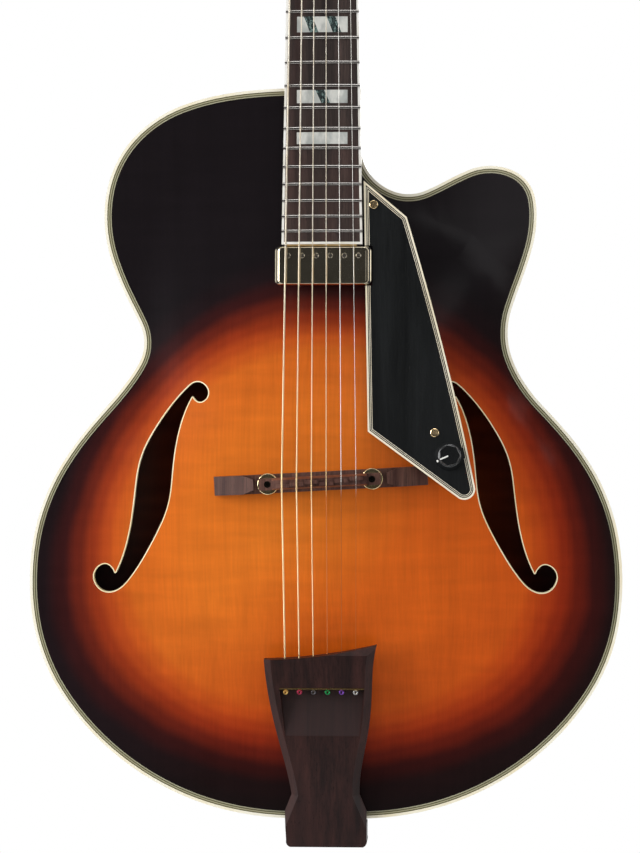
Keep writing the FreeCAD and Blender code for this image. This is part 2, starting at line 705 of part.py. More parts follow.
def inlay_span(fret):
    middle = (fret_place(fret) + fret_place(fret - 1)) / 2
    half = (fret_place(fret) - fret_place(fret - 1)) * inlay_length_share / 2
    return -middle - half, -middle + half


def make_fretboard():
    outer, core = board_blank(0), board_blank(size.board_binding)
    node("fretboard_binding", outer.cut(core), neck_place)
    blocks, slashes = [], []
    for fret in inlay_frets:
        low, high = inlay_span(fret)
        half = size.inlay_width / 2
        block = brick(Vector(-half, -size.overrun, low), Vector(half, size.inlay_depth, high))
        block = block.common(board_round())
        strips = []
        for middle in slash_shares.get(fret, ()):
            wide = slash_width_share / 2
            tilt = slash_lean_share / 2
            corners = [Vector((middle + across) * size.inlay_width, 0, up) for across, up in
                       ((-wide + tilt, low), (wide + tilt, low), (wide - tilt, high), (-wide - tilt, high))]
            strip = prism(Part.makePolygon(corners + corners[:1]), -size.overrun, size.inlay_depth)
            strips.append(strip.common(board_round()))
        blocks += (block.cut(strips) if strips else block).Solids
        slashes += strips
    crowns, tangs = [], []
    for number in range(1, int(size.fret_count) + 1):
        crowns.append(fret_crown(fret_place(number)))
        tangs.append(fret_tang(fret_place(number)))
    node("fretboard", core.cut(blocks + slashes + tangs), neck_place)
    frets = [crown_solid.fuse(tang) for crown_solid, tang in zip(crowns, tangs)]
    node("frets", Part.makeCompound(frets), neck_place)
    node("pearl_inlays", Part.makeCompound(blocks), neck_place)
    node("shell_inlays", Part.makeCompound(slashes), neck_place)


def nut_across(index):
    return size.string_offset + string_share(index) * size.nut_spread


def make_nut():
    fall = math.tan(math.radians(size.nut_fall))
    half = size.nut_width / 2

    def block(low, high, rise, end):
        front = -size.nut_string_height - rise
        profile = [(size.board_thickness, 0), (front, 0), (front, size.nut_front), (front + fall * end, end),
                   (size.board_thickness, end)]
        points = [Vector(low, up, along) for up, along in profile]
        return Part.Face(Part.makePolygon(points + points[:1])).extrude(Vector(high - low, 0, 0))

    edges = [-half]
    for index in range(string_count):
        gap = string_thicknesses[index] / 2 + size.nut_slot_gap
        edges += [nut_across(index) - gap, nut_across(index) + gap]
    edges.append(half)
    lands = [block(edges[step], edges[step + 1], size.nut_land, size.nut_land_length)
             for step in range(0, len(edges), 2)]
    node("nut", block(-half, half, 0, size.nut_length).fuse(lands).removeSplitter(), neck_place)


# tuners, in the head's own frame

button_seat_share = 0.42


def make_tuners():
    bushing = turned("bushing_blank", [
        ("post_radius + post_clearance", "0"), ("bushing_flange_radius", "0"),
        ("bushing_flange_radius", "bushing_flange"), ("bushing_radius", "bushing_flange"),
        ("bushing_radius", "bushing_flange + bushing_depth"),
        ("post_radius + post_clearance", "bushing_flange + bushing_depth")], keep=False)
    gear_start = "post_rise + head_thickness + gear_gap"
    gear_end = gear_start + " + gear_thickness"
    post = turned("post_blank", [
        ("0", "0"), ("post_radius", "0"), ("post_radius", gear_start), ("gear_radius", gear_start),
        ("gear_radius", gear_end), ("post_radius", gear_end), ("post_radius", gear_end + " + post_tail"),
        ("0", gear_end + " + post_tail")], keep=False)
    button = doc.addObject("Part::Ellipsoid", "button_blank")
    for radius, expression in (("Radius1", "button_radius"), ("Radius2", "button_width / 2"),
                               ("Radius3", "button_thickness / 2")):
        button.setExpression(radius, bound(expression))
    doc.recompute()
    worm_rise = size.head_thickness + size.gear_gap + size.gear_thickness / 2
    worm_out = size.gear_radius + size.worm_radius + size.mesh_gap
    bushings, housings = [], []
    for index in range(string_count):
        across, up = tuner_spot(index)
        side = string_sides[index]
        number = string_count - index
        front = Placement(Vector(across, -size.bushing_flange, up), Rotation())
        bushings.append(placed(bushing.Shape, head_place.multiply(front)))
        front = head_place.multiply(Placement(Vector(across, -size.post_rise, up), Rotation()))
        node(f"string_post_{number}", post.Shape, front)
        worm_way = Vector(side, 0, 0)
        worm_spot = Vector(across, worm_rise, up + worm_out)
        shaft_end = size.housing_width / 2 + size.shaft_reach
        worm = Part.makeCylinder(size.worm_radius, size.worm_length,
                                 worm_spot - worm_way * (size.worm_length / 2), worm_way)
        shaft = Part.makeCylinder(size.shaft_radius, shaft_end, worm_spot, worm_way)
        grip_spot = worm_spot + worm_way * (shaft_end + size.button_width * button_seat_share)
        outward = Rotation(across_x, worm_way)
        grip = placed(button.Shape, Placement(grip_spot, outward))
        node(f"tuner_button_{number}", worm.fuse([shaft, grip]), head_place)
        housings.append(tuner_housing(across, up, side, worm_spot))
    node("tuner_bushings", Part.makeCompound(bushings))
    node("tuner_housings", Part.makeCompound(housings).cut(headstock_screws()))


def tuner_housing(across, up, side, worm_spot):
    half_width, half_length = size.housing_width / 2, size.housing_length / 2
    middle = up + size.housing_shift
    back = size.head_thickness
    shell = brick(Vector(across - half_width, back, middle - half_length),
                  Vector(across + half_width, back + size.housing_height, middle + half_length))
    wall = size.housing_wall
    room = brick(Vector(across - half_width + wall, back - size.overrun, middle - half_length + wall),
                 Vector(across + half_width - wall, back + size.housing_height - wall,
                        middle + half_length - wall))
    lug_low = up - lug_reach - size.lug_length / 2
    lug = brick(Vector(across - size.lug_width / 2, back, lug_low),
                Vector(across + size.lug_width / 2, back + size.lug_thickness, middle - half_length))
    passage = Part.makeCylinder(size.shaft_radius + size.post_clearance, size.housing_width, worm_spot,
                                Vector(side, 0, 0))
    return placed(shell.cut([room, passage]).fuse(lug).removeSplitter(), head_place)


# bridge, about the saddle line

bridge_reach = size.scale_length + size.compensation
saddle_y = -bridge_reach * math.sin(lean) - size.saddle_string_height * math.cos(lean)
bridge_z = -bridge_reach * math.cos(lean) + size.saddle_string_height * math.sin(lean)
bridge_turn = Rotation(Vector(0, 1, 0), -size.bridge_skew)
bridge_place = Placement(Vector(size.string_offset, 0, bridge_z), bridge_turn)
ear_under = saddle_y + size.saddle_rise
wheel_back = ear_under + size.thumbwheel_thickness
deck = wheel_back + size.thumbwheel_gap


def saddle_across(index):
    return string_share(index) * size.saddle_spread


def saddle_top(index):
    return saddle_y + saddle_across(index) ** 2 / (2 * size.board_radius)


def post_bores(radius, front, back):
    return [cylinder_y(radius, side * size.post_spacing / 2, 0, front, back) for side in (-1, 1)]


def make_bridge():
    half, inner = size.bridge_length / 2, size.bridge_length / 2 - size.bridge_wing
    wide = size.bridge_width / 2
    below = size.overrun
    end_top = -size.top_arch * arch_share(half, bridge_z)[0] - size.wing_end_rise
    profile = [(-half, below), (-half, end_top), (-inner, deck - size.wing_rise), (-inner, deck),
               (inner, deck), (inner, deck - size.wing_rise), (half, end_top), (half, below)]
    points = [Vector(across, up, -wide) for across, up in profile]
    blank = Part.Face(Part.makePolygon(points + points[:1])).extrude(Vector(0, 0, 2 * wide))
    trims = []
    for side in (-1, 1):
        for edge in (-1, 1):
            corners = [Vector(side * (inner + size.wing_chamfer), 0, edge * wide),
                       Vector(side * inner, 0, edge * wide),
                       Vector(side * inner, 0, edge * wide * wing_tip_share)]
            trims.append(prism(Part.makePolygon(corners + corners[:1]), deck - 2 * size.wing_rise, deck))
    arch_gap = below_top.copy()
    arch_gap.translate(Vector(0, -size.bridge_gap_height, 0))
    gap_half = Vector(size.bridge_gap_width / 2, 2 * size.top_arch, size.bridge_width)
    gap_room = placed(brick(gap_half.negative(), gap_half), bridge_place).common(arch_gap)
    seats = post_bores(size.bridge_post_radius, deck - size.overrun, deck + size.bridge_post_seat)
    base = placed(blank.cut(trims + seats), bridge_place).cut([below_top, gap_room])
    node("bridge_base", max(base.Solids, key=lambda solid: solid.Volume))

    ear_top = ear_under - size.ear_height
    bar = brick(Vector(-size.saddle_length / 2, ear_top, -size.saddle_width / 2),
                Vector(size.saddle_length / 2, ear_under, size.saddle_width / 2))
    ridge_foot = saddle_top(0) + size.ridge_height
    low, high = size.saddle_width / 2, size.crown_width / 2
    section = [Vector(-size.crown_length / 2, up, wide_z) for up, wide_z in
               ((ear_top, -low), (ridge_foot, -high), (ridge_foot, high), (ear_top, low))]
    crest = Part.Face(Part.makePolygon(section + section[:1])).extrude(Vector(size.crown_length, 0, 0))
    ridges = []
    for index, shift in enumerate(ridge_shift_shares):
        middle = shift * (size.crown_width - size.ridge_width) / 2
        start = saddle_across(index) - size.ridge_length / 2
        ridges.append(brick(Vector(start, saddle_top(index), middle - size.ridge_width / 2),
                            Vector(start + size.ridge_length, ridge_foot, middle + size.ridge_width / 2)))
    bores = post_bores(size.bridge_post_radius + size.post_clearance, ear_top - size.overrun,
                       ear_under + size.overrun)
    node("bridge_saddle", bar.fuse([crest] + ridges).cut(bores), bridge_place)

    post_front = ear_top + size.bridge_post_inset
    hexagon = [Vector(size.bridge_post_socket * math.cos(math.pi * step / 3), 0,
                      size.bridge_post_socket * math.sin(math.pi * step / 3)) for step in range(7)]
    posts = []
    shafts = post_bores(size.bridge_post_radius, post_front, deck + size.bridge_post_seat)
    for side, post in zip((-1, 1), shafts):
        socket = prism(Part.makePolygon(hexagon), post_front, post_front + size.socket_depth)
        socket.translate(Vector(side * size.post_spacing / 2, 0, 0))
        posts.append(post.cut(socket))
    node("bridge_posts", Part.makeCompound(posts), bridge_place)
    bore = "bridge_post_radius + post_clearance"
    rim = "thumbwheel_radius - thumbwheel_edge"
    for label, side in (("bass_thumbwheel", -1), ("treble_thumbwheel", 1)):
        spot = Placement(Vector(side * size.post_spacing / 2, ear_under, 0), Rotation())
        turned(label, [(bore, "0"), (rim, "0"), ("thumbwheel_radius", "thumbwheel_edge"),
                       ("thumbwheel_radius", "thumbwheel_thickness - thumbwheel_edge"),
                       (rim, "thumbwheel_thickness"), (bore, "thumbwheel_thickness")],
               bridge_place.multiply(spot))


ridge_shift_shares = [-0.9, -0.3, 0.3, -0.7, 0.2, 0.8]
wing_tip_share = 0.55


# tailpiece

tail_front = body_end + size.tail_top
tail_end = body_end - size.tail_overhang
hook = body_end - size.hanger_thickness
slot_wall = tail_front - size.slot_setback
tail_left_shares = [(-0.522, -0.069), (-0.49, -0.236), (-0.42, -0.43), (-0.334, -0.62), (-0.293, -0.738)]
tail_right_shares = [(0.481, 0), (0.447, -0.1), (0.433, -0.236), (0.399, -0.43), (0.333, -0.62), (0.317, -0.738)]
tail_brow_share = 0.33
foot_round_share = 0.2
strip_depth_share = 0.9
tail_foot_shares = [(-0.357, -0.822), (-0.345, -0.965), (-0.31, -1), (0.345, -1), (0.378, -0.96),
                    (0.38, -0.822)]


def tail_spot(share):
    return Vector(share[0] * size.tail_width, 0, tail_front + share[1] * (tail_front - tail_end))


def tail_wire():
    left, right, foot = ([tail_spot(share) for share in shares]
                         for shares in (tail_left_shares, tail_right_shares, tail_foot_shares))
    low = (left[0] + right[0]) / 2 - Vector(0, 0, size.tail_lip * tail_brow_share)
    brow = Part.Arc(right[0], low, left[0]).toShape()
    run = [left[-1]] + foot + [right[-1]]
    edges = [Part.makeLine(start, end) for start, end in zip(run, run[1:])]
    for corner in (2, 4):
        start, end = run[corner], run[corner + 1]
        way = end - start
        middle = (start + end) / 2 + Vector(way.z, 0, -way.x) * foot_round_share
        edges[corner] = Part.Arc(start, middle, end).toShape()
    return Part.Wire([brow, smooth(left).toShape()] + edges + [smooth(right[::-1]).toShape()])


def tail_side_edges(body, level):
    # the long front edges and the flares below them, which lie on the sloping front face
    edges = []
    for edge in body.Edges:
        middle = edge.valueAt((edge.FirstParameter + edge.LastParameter) / 2)
        if abs(middle.y - level(middle.z)) < size.seat_clearance and edge.BoundBox.ZLength > size.tail_lip:
            edges.append(edge)
    return edges


def tail_profile(points):
    corners = [Vector(-size.tail_width, up, along) for up, along in points]
    return Part.Face(Part.makePolygon(corners + corners[:1])).extrude(Vector(2 * size.tail_width, 0, 0))


ball_spot_y = -size.tail_front_height + size.slot_depth
ball_z = slot_wall - size.strip_thickness - size.ball_radius - size.seat_clearance


def tail_across(index):
    return size.string_offset + string_share(index) * size.tail_spread


def ball_spot(index):
    return Vector(tail_across(index), ball_spot_y, ball_z)


def saddle_spot(index):
    rise = saddle_top(index) - string_thicknesses[index] / 2 - size.saddle_gap
    return bridge_place.multVec(Vector(saddle_across(index), rise, 0))


def string_bores():
    bores = []
    for index in range(string_count):
        start = ball_spot(index)
        way = saddle_spot(index) - start
        bores.append(Part.makeCylinder(size.string_hole_radius, 2 * size.slot_setback, start, way))
    return bores


def make_tailpiece():
    fold = body_end + size.tail_fold
    top_front = tail_front - size.tail_lip
    slope = (size.tail_front_height - size.tail_fold_height) / (top_front - fold)

    def level(along):
        return -size.tail_front_height + slope * (top_front - along)

    profile = tail_profile([
        (-size.tail_front_height, top_front), (-size.tail_fold_height, fold),
        (-size.tail_end_height, tail_end),
        (size.tail_hook_depth, tail_end), (size.tail_hook_depth, hook), (-size.tail_rim_gap, hook),
        (-size.tail_front_height + size.tail_front_depth, tail_front),
        (-size.tail_front_height + size.tail_front_depth / 2, tail_front)])
    low, high = -size.tail_front_height - size.overrun, size.tail_hook_depth + size.overrun
    body = prism(tail_wire(), low, high).common(profile)
    body = body.makeChamfer(size.tail_bevel, tail_side_edges(body, level))
    far = 2 * size.tail_front_height
    wall_y = level(slot_wall)
    floor_end = slot_wall - size.slot_length
    end_y = level(floor_end)
    wedge = tail_profile([(wall_y - size.overrun, slot_wall), (wall_y + size.slot_depth, slot_wall),
                          (end_y, floor_end), (end_y - size.overrun, floor_end)])
    narrowing = (size.slot_width - size.slot_foot_width) / 2 / size.slot_length
    corners = []
    for side, along in ((-1, body_end), (1, body_end), (1, tail_front), (-1, tail_front)):
        half = size.slot_width / 2 - narrowing * (slot_wall - along)
        corners.append(Vector(size.slot_shift + side * half, 0, along))
    room = prism(Part.makePolygon(corners + corners[:1]), -far, far)
    node("tailpiece", body.cut([wedge.common(room)] + string_bores()))
    strip_half = size.slot_width / 2 - narrowing * size.strip_thickness
    strip = brick(Vector(size.slot_shift - strip_half, wall_y - size.strip_rise,
                         slot_wall - size.strip_thickness),
                  Vector(size.slot_shift + strip_half, wall_y + size.slot_depth * strip_depth_share,
                         slot_wall))
    node("tailpiece_strip", strip.cut(string_bores()))


def make_tail_hardware():
    inside = prism(body_wire(0), -size.overrun, size.rim_depth + size.overrun)
    low = Vector(-size.hanger_width / 2, -size.tail_rim_gap, hook)
    plate = brick(low, low + Vector(size.hanger_width, size.hanger_depth, 2 * size.hanger_thickness))
    node("tailpiece_hanger", plate.cut([inside, jack_hole] + hanger_screw_shanks()))
    screws = []
    for depth, shank in zip(hanger_screw_depths, hanger_screw_shanks()):
        head = Part.makeCylinder(size.hanger_screw_head_radius, size.hanger_screw_head,
                                 Vector(0, depth, hook - size.hanger_screw_head), along_z)
        screws.append(head.fuse(shank))
    node("hanger_screws", Part.makeCompound(screws))
    flange_end = "jack_barrel_length + jack_flange"
    neck_end = flange_end + " + jack_neck"
    head_end = neck_end + " + jack_head"
    bore_start = head_end + " - jack_bore_length"
    place = Placement(Vector(0, jack_depth, hook + size.jack_barrel_length), Rotation(Vector(1, 0, 0), -90))
    turned("end_pin_jack", [
        ("0", "0"), ("jack_barrel_radius", "0"), ("jack_barrel_radius", "jack_barrel_length"),
        ("jack_flange_radius", "jack_barrel_length"), ("jack_flange_radius", flange_end),
        ("jack_barrel_radius", flange_end), ("jack_barrel_radius", neck_end), ("jack_head_radius", neck_end),
        ("jack_head_radius", head_end + " - jack_head_edge"), ("jack_head_radius - jack_head_edge", head_end),
        ("jack_bore_radius", head_end), ("jack_bore_radius", bore_start), ("0", bore_start)], place)


# pickup, in the neck's own frame

pickup_front = (-size.nut_string_height - (size.saddle_string_height - size.nut_string_height)
                * board_length / bridge_reach + size.pickup_string_gap)
pickup_high = -board_length - size.bracket_thickness
pickup_low = pickup_high - size.pickup_width


def pickup_box(grow):
    half = size.pickup_length / 2 + grow
    block = brick(Vector(size.pickup_shift - half, pickup_front - grow, pickup_low - grow),
                  Vector(size.pickup_shift + half, pickup_front + size.pickup_height, pickup_high + grow))
    return block


def pole_spots():
    across = [size.pickup_shift + string_share(index) * size.pole_spacing * (string_count - 1)
              for index in range(string_count)]
    return [(spot, pickup_high - size.pole_setback) for spot in across]


def make_pickup():
    outer = pickup_box(0)
    uprights = [edge for edge in outer.Edges if edge.BoundBox.YLength > size.pickup_height / 2]
    outer = outer.makeFillet(size.pickup_corner, uprights)
    rims = [edge for edge in outer.Edges if edge.BoundBox.YMax < pickup_front + size.seat_clearance]
    outer = outer.makeFillet(size.pickup_edge, rims)
    inner = pickup_box(-size.pickup_wall)
    span = inner.BoundBox
    room = inner.fuse(brick(Vector(span.XMin, span.YMax - size.overrun, span.ZMin),
                            Vector(span.XMax, span.YMax + size.overrun, span.ZMax)))
    poles = [cylinder_y(size.pole_radius, across, up, pickup_front - size.pole_head,
                        pickup_front + size.pole_length) for across, up in pole_spots()]
    node("pickup_cover", outer.cut([room] + poles), neck_place)
    gap = size.pickup_wall + size.coil_clearance
    low = Vector(size.pickup_shift - size.pickup_length / 2 + gap, pickup_front + size.pickup_wall,
                 pickup_low + gap)
    high = Vector(size.pickup_shift + size.pickup_length / 2 - gap, pickup_front + size.pickup_height,
                  pickup_high - gap)
    node("pickup_coil", brick(low, high).cut(poles), neck_place)
    node("pole_screws", Part.makeCompound(poles), neck_place)
    half = size.bracket_width / 2
    low = Vector(-half, size.bracket_drop, -board_length - size.bracket_thickness)
    plate = brick(low, Vector(half, pickup_front + size.pickup_height, -board_length))
    node("pickup_bracket", plate, neck_place)


# pickguard with its control, in the neck's own frame

guard_x = board_half(board_length) + size.guard_gap
guard_back = size.guard_drop + size.guard_thickness
# across from the left edge as shares of the width, down from the upper corner as shares of the length
guard_upper_share = (0, 0)
guard_corner_share = (0.385, -0.117)
guard_side_share = (0.616, -0.405)
guard_tip_share = (0.9, -0.985)
guard_heel_share = (0.04, -0.803)
guard_screw_shares = [(0.09, -0.077), (0.636, -0.807)]
guard_knob_share = (0.77, -0.881)
guard_shank_share = 0.8


def guard_spot(share):
    return Vector(guard_x + share[0] * size.guard_width, 0, -size.guard_start + share[1] * size.guard_length)


def guard_wire(inset):
    upper, corner = guard_spot(guard_upper_share), guard_spot(guard_corner_share)
    side, tip, heel = guard_spot(guard_side_share), guard_spot(guard_tip_share), guard_spot(guard_heel_share)
    radius = size.guard_tip_radius
    right = tip + Vector(radius, 0, 0)
    base_way = (heel - tip).normalize()
    under = tip + Vector(base_way.z, 0, -base_way.x) * radius
    if under.z > tip.z:
        under = tip - Vector(base_way.z, 0, -base_way.x) * radius
    middle = tip + ((right - tip) + (under - tip)).normalize() * radius
    wire = Part.Wire([Part.makeLine(upper, corner), Part.Arc(corner, side, right).toShape(),
                      Part.Arc(right, middle, under).toShape(), Part.makeLine(under, heel),
                      Part.makeLine(heel, upper)])
    if not inset:
        return wire
    return wire.makeOffset2D(-inset, 2)


def make_guard():
    pickup_room = pickup_box(size.pickup_guard_gap)
    screw_spots = [guard_spot(share) for share in guard_screw_shares]
    knob = guard_spot(guard_knob_share)
    holes = [cylinder_y(size.guard_screw_shank, spot.x, spot.z, -size.overrun, guard_back + size.overrun)
             for spot in screw_spots]
    far = guard_back + size.overrun
    holes.append(cylinder_y(size.pot_bushing_radius, knob.x, knob.z, -size.overrun, far))
    whole = prism(guard_wire(0), size.guard_drop, guard_back).cut(pickup_room)
    core = prism(guard_wire(size.guard_binding), size.guard_drop - size.overrun, guard_back + size.overrun)
    node("pickguard", whole.common(core).cut(holes), neck_place)
    node("pickguard_binding", whole.cut(core), neck_place)
    screws = []
    for spot in screw_spots:
        head = cylinder_y(size.guard_screw_radius, spot.x, spot.z, size.guard_drop - size.guard_screw_head,
                          size.guard_drop)
        shank = cylinder_y(size.guard_screw_shank, spot.x, spot.z, size.guard_drop,
                           guard_back + size.guard_block_height * guard_shank_share)
        screws.append(head.fuse(shank))
    node("pickguard_screws", Part.makeCompound(screws), neck_place)
    first, second = screw_spots
    tongue_side = board_half(-first.z) - size.tongue_inset
    block = brick(Vector(tongue_side, guard_back, first.z - size.guard_block_length / 2),
                  Vector(tongue_side + size.guard_block_width, guard_back + size.guard_block_height,
                         first.z + size.guard_block_length / 2))
    taper = brick(Vector(-size.nut_width, 0, -2 * board_length),
                  Vector(board_half(-first.z + size.guard_block_length) - size.tongue_inset, board_length, 0))
    post = cylinder_y(size.guard_post_radius, second.x, second.z, guard_back, 2 * size.top_arch)
    post = placed(post, neck_place).cut(below_top)
    post = min(post.Solids, key=lambda solid: solid.CenterOfMass.y)
    supports = [placed(block.cut(taper), neck_place), post]
    shanks = [placed(screw_solid, neck_place) for screw_solid in screws]
    node("pickguard_supports", Part.makeCompound([support.cut(shanks) for support in supports]))

    pot_spot = Vector(knob.x, size.guard_drop - size.knob_lift, knob.z)
    pot_place = neck_place.multiply(Placement(pot_spot, Rotation()))
    collar = "guard_thickness + knob_lift"
    bore = "pot_shaft_radius + post_clearance"
    turned("volume_pot", [
        (bore, "0"), ("pot_bushing_radius", "0"), ("pot_bushing_radius", collar), ("pot_radius", collar),
        ("pot_radius", collar + " + pot_height"), ("0", collar + " + pot_height"),
        ("0", collar + " + pot_height - pot_wall"), (bore, collar + " + pot_height - pot_wall")], pot_place)
    knob_front = size.guard_drop - size.knob_lift - size.seat_clearance - size.knob_height
    make_knob(knob, knob_front)


def make_knob(spot, front):
    skirt_front = front + size.knob_height - size.knob_skirt
    sides = int(size.knob_sides)
    corners = [Vector(size.knob_radius * math.cos(2 * math.pi * step / sides), 0,
                      size.knob_radius * math.sin(2 * math.pi * step / sides)) for step in range(sides + 1)]
    cap = prism(Part.makePolygon(corners), 0, skirt_front - front)
    skirt = Part.makeCone(size.knob_radius, size.knob_skirt_radius, size.knob_skirt,
                          Vector(0, skirt_front - front, 0), along_y)
    shaft_length = size.knob_lift + size.guard_thickness + size.pot_shaft_tail
    shaft = cylinder_y(size.pot_shaft_radius, 0, 0, size.knob_height, size.knob_height + shaft_length)
    node("volume_knob", cap.fuse([skirt, shaft]), neck_place.multiply(
        Placement(Vector(spot.x, front, spot.z), Rotation())))


# strings: straight runs and bends over the saddle and nut, ending in turns on their posts

def eased(points, radius):
    # straight runs between the points, joined by tangent arcs
    edges, last = [], points[0]
    for before, here, after in zip(points, points[1:], points[2:]):
        into, away = (here - before).normalize(), (after - here).normalize()
        cut = radius * math.tan(into.getAngle(away) / 2)
        start, end = here - into * cut, here + away * cut
        edges.append(Part.makeLine(last, start))
        edges.append(arc_between(start, into, end))
        last = end
    return edges, last


def string_solid(index):
    thick = string_thicknesses[index]
    across, up = tuner_spot(index)
    side = string_sides[index]
    nut_rise = -size.nut_string_height - thick / 2 - size.nut_gap
    nut_spot = neck_place.multVec(Vector(nut_across(index), nut_rise, size.nut_front))
    at_head = head_place.inverse().multVec(nut_spot)
    radius = size.post_radius + size.winding_clearance + thick / 2
    pitch = thick + size.winding_gap
    turns = string_turns[index]
    rise = -size.bushing_flange - thick - turns * pitch
    run = Vector(across - at_head.x, 0, up - at_head.z)
    slant = math.atan2(run.z, run.x) + side * math.asin(radius / run.Length)
    reach = math.sqrt(run.Length ** 2 - radius ** 2)
    touch = Vector(at_head.x + reach * math.cos(slant), rise, at_head.z + reach * math.sin(slant))
    first_turn = math.atan2(touch.z - up, touch.x - across)

    def winding(part):
        turn = first_turn - side * part * 2 * math.pi
        return Vector(across + radius * math.cos(turn), rise + part * pitch, up + radius * math.sin(turn))

    def heading(part):
        turn = first_turn - side * part * 2 * math.pi
        way = 2 * math.pi * radius * -side
        return Vector(-way * math.sin(turn), pitch, way * math.cos(turn)).normalize()

    to_world = head_place
    points = [ball_spot(index), saddle_spot(index), nut_spot, to_world.multVec(touch)]
    edges, last = eased(points, size.bend_radius)
    edges.append(Part.makeLine(last, points[-1]))
    way_in = (points[-1] - last).normalize()
    quarters = int(turns * 4)
    for step in range(quarters):
        start, end = step / 4, (step + 1) / 4
        start_way = way_in if step == 0 else to_world.Rotation.multVec(heading(start))
        edges += biarc(to_world.multVec(winding(start)), start_way, to_world.multVec(winding(end)),
                       to_world.Rotation.multVec(heading(end)))
    path = Part.Wire(edges)
    ring = Part.Wire([Part.makeCircle(thick / 2, points[0], points[1] - points[0])])
    tube = path.makePipeShell([ring], True, False)
    gap = winding_least_gap(winding, turns, thick)
    print(f"string {string_count - index}: length {path.Length:.1f}, least gap between turns {gap:.2f}")
    return tube


def winding_least_gap(winding, turns, thick):
    steps = 24
    points = [winding(step / steps) for step in range(int(turns * steps) + 1)]
    gaps = [points[low].distanceToPoint(points[high]) for low in range(len(points))
            for high in range(low + steps // 2, len(points))]
    return min(gaps) - thick


def string_ball(index):
    spot = ball_spot(index)
    return Part.makeCylinder(size.ball_radius, size.ball_length, spot - Vector(size.ball_length / 2, 0, 0),
                             across_x)


def make_strings():
    strings = []
    for index in range(string_count):
        ball = string_ball(index)
        strings.append([string_solid(index).cut(ball), ball])
    node("wound_strings", Part.makeCompound(sum(strings[:wound_count], [])))
    node("plain_strings", Part.makeCompound(sum(strings[wound_count:], [])))


make_plates()
make_rims()
make_tone_bars()
make_neck()
make_head_trim()
make_fretboard()
make_nut()
make_tuners()
make_bridge()
make_tailpiece()
make_tail_hardware()
make_pickup()
make_guard()
make_strings()
doc.recompute()

for piece in doc.Objects:
    if "Invalid" in piece.State or "Error" in piece.State:
        raise RuntimeError("failed object: " + piece.Label)
for piece in nodes:
    if piece.Shape.isNull() or not piece.Shape.isValid() or not piece.Shape.Solids:
        raise RuntimeError("bad solid: " + piece.Label)

os.makedirs("parts", exist_ok=True)
for piece in nodes:
    piece.Shape.exportStep(f"parts/{piece.Label}.step")
print(len(nodes), "nodes")
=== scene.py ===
import json
import math
import bmesh
import bpy
from mathutils import Matrix, Quaternion, Vector
from mathutils.bvhtree import BVHTree

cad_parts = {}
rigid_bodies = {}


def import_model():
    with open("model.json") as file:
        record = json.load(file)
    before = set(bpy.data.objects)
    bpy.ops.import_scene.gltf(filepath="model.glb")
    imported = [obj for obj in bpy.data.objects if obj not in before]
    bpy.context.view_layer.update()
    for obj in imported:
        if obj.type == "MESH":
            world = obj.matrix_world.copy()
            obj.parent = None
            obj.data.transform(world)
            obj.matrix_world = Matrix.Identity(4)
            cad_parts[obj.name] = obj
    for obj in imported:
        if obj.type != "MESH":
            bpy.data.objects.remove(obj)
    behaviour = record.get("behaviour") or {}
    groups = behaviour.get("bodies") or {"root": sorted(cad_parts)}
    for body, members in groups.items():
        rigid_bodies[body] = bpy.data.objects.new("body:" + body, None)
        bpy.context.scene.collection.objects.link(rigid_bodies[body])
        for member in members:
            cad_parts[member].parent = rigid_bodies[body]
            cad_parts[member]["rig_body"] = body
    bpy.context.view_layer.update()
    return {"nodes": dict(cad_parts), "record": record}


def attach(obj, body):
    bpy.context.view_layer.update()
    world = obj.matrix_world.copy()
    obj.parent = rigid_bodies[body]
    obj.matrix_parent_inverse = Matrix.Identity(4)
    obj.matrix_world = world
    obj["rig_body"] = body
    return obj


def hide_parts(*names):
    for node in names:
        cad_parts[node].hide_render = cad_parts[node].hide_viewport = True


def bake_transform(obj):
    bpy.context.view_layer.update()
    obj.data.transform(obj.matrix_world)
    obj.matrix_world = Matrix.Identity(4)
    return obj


for old in list(bpy.data.objects):
    bpy.data.objects.remove(old)
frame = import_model()
nodes = frame["nodes"]
slotOf = {entry["node"]: entry["material_slot"] for entry in frame["record"]["subparts"]}
mm = 0.001
fullTurn, quarterTurn = 2 * math.pi, math.pi / 2
scene = bpy.context.scene
scene.view_settings.view_transform = "Standard"
print("frame loaded:", len(nodes), "nodes")


def addObject(name, data):
    made = bpy.data.objects.new(name, data)
    scene.collection.objects.link(made)
    return made


def lengths(sizes, *labels):  # named sizes of a piece, in metres
    return [sizes[label] * mm for label in labels]


# colours and nodes

def tone(red, green, blue):  # screen colour to linear
    def part(value):
        value /= 255
        return value / 12.92 if value <= 0.04045 else ((value + 0.055) / 1.055) ** 2.4
    return (part(red), part(green), part(blue), 1)


def dimmed(colour, share):
    return [value * share for value in colour]


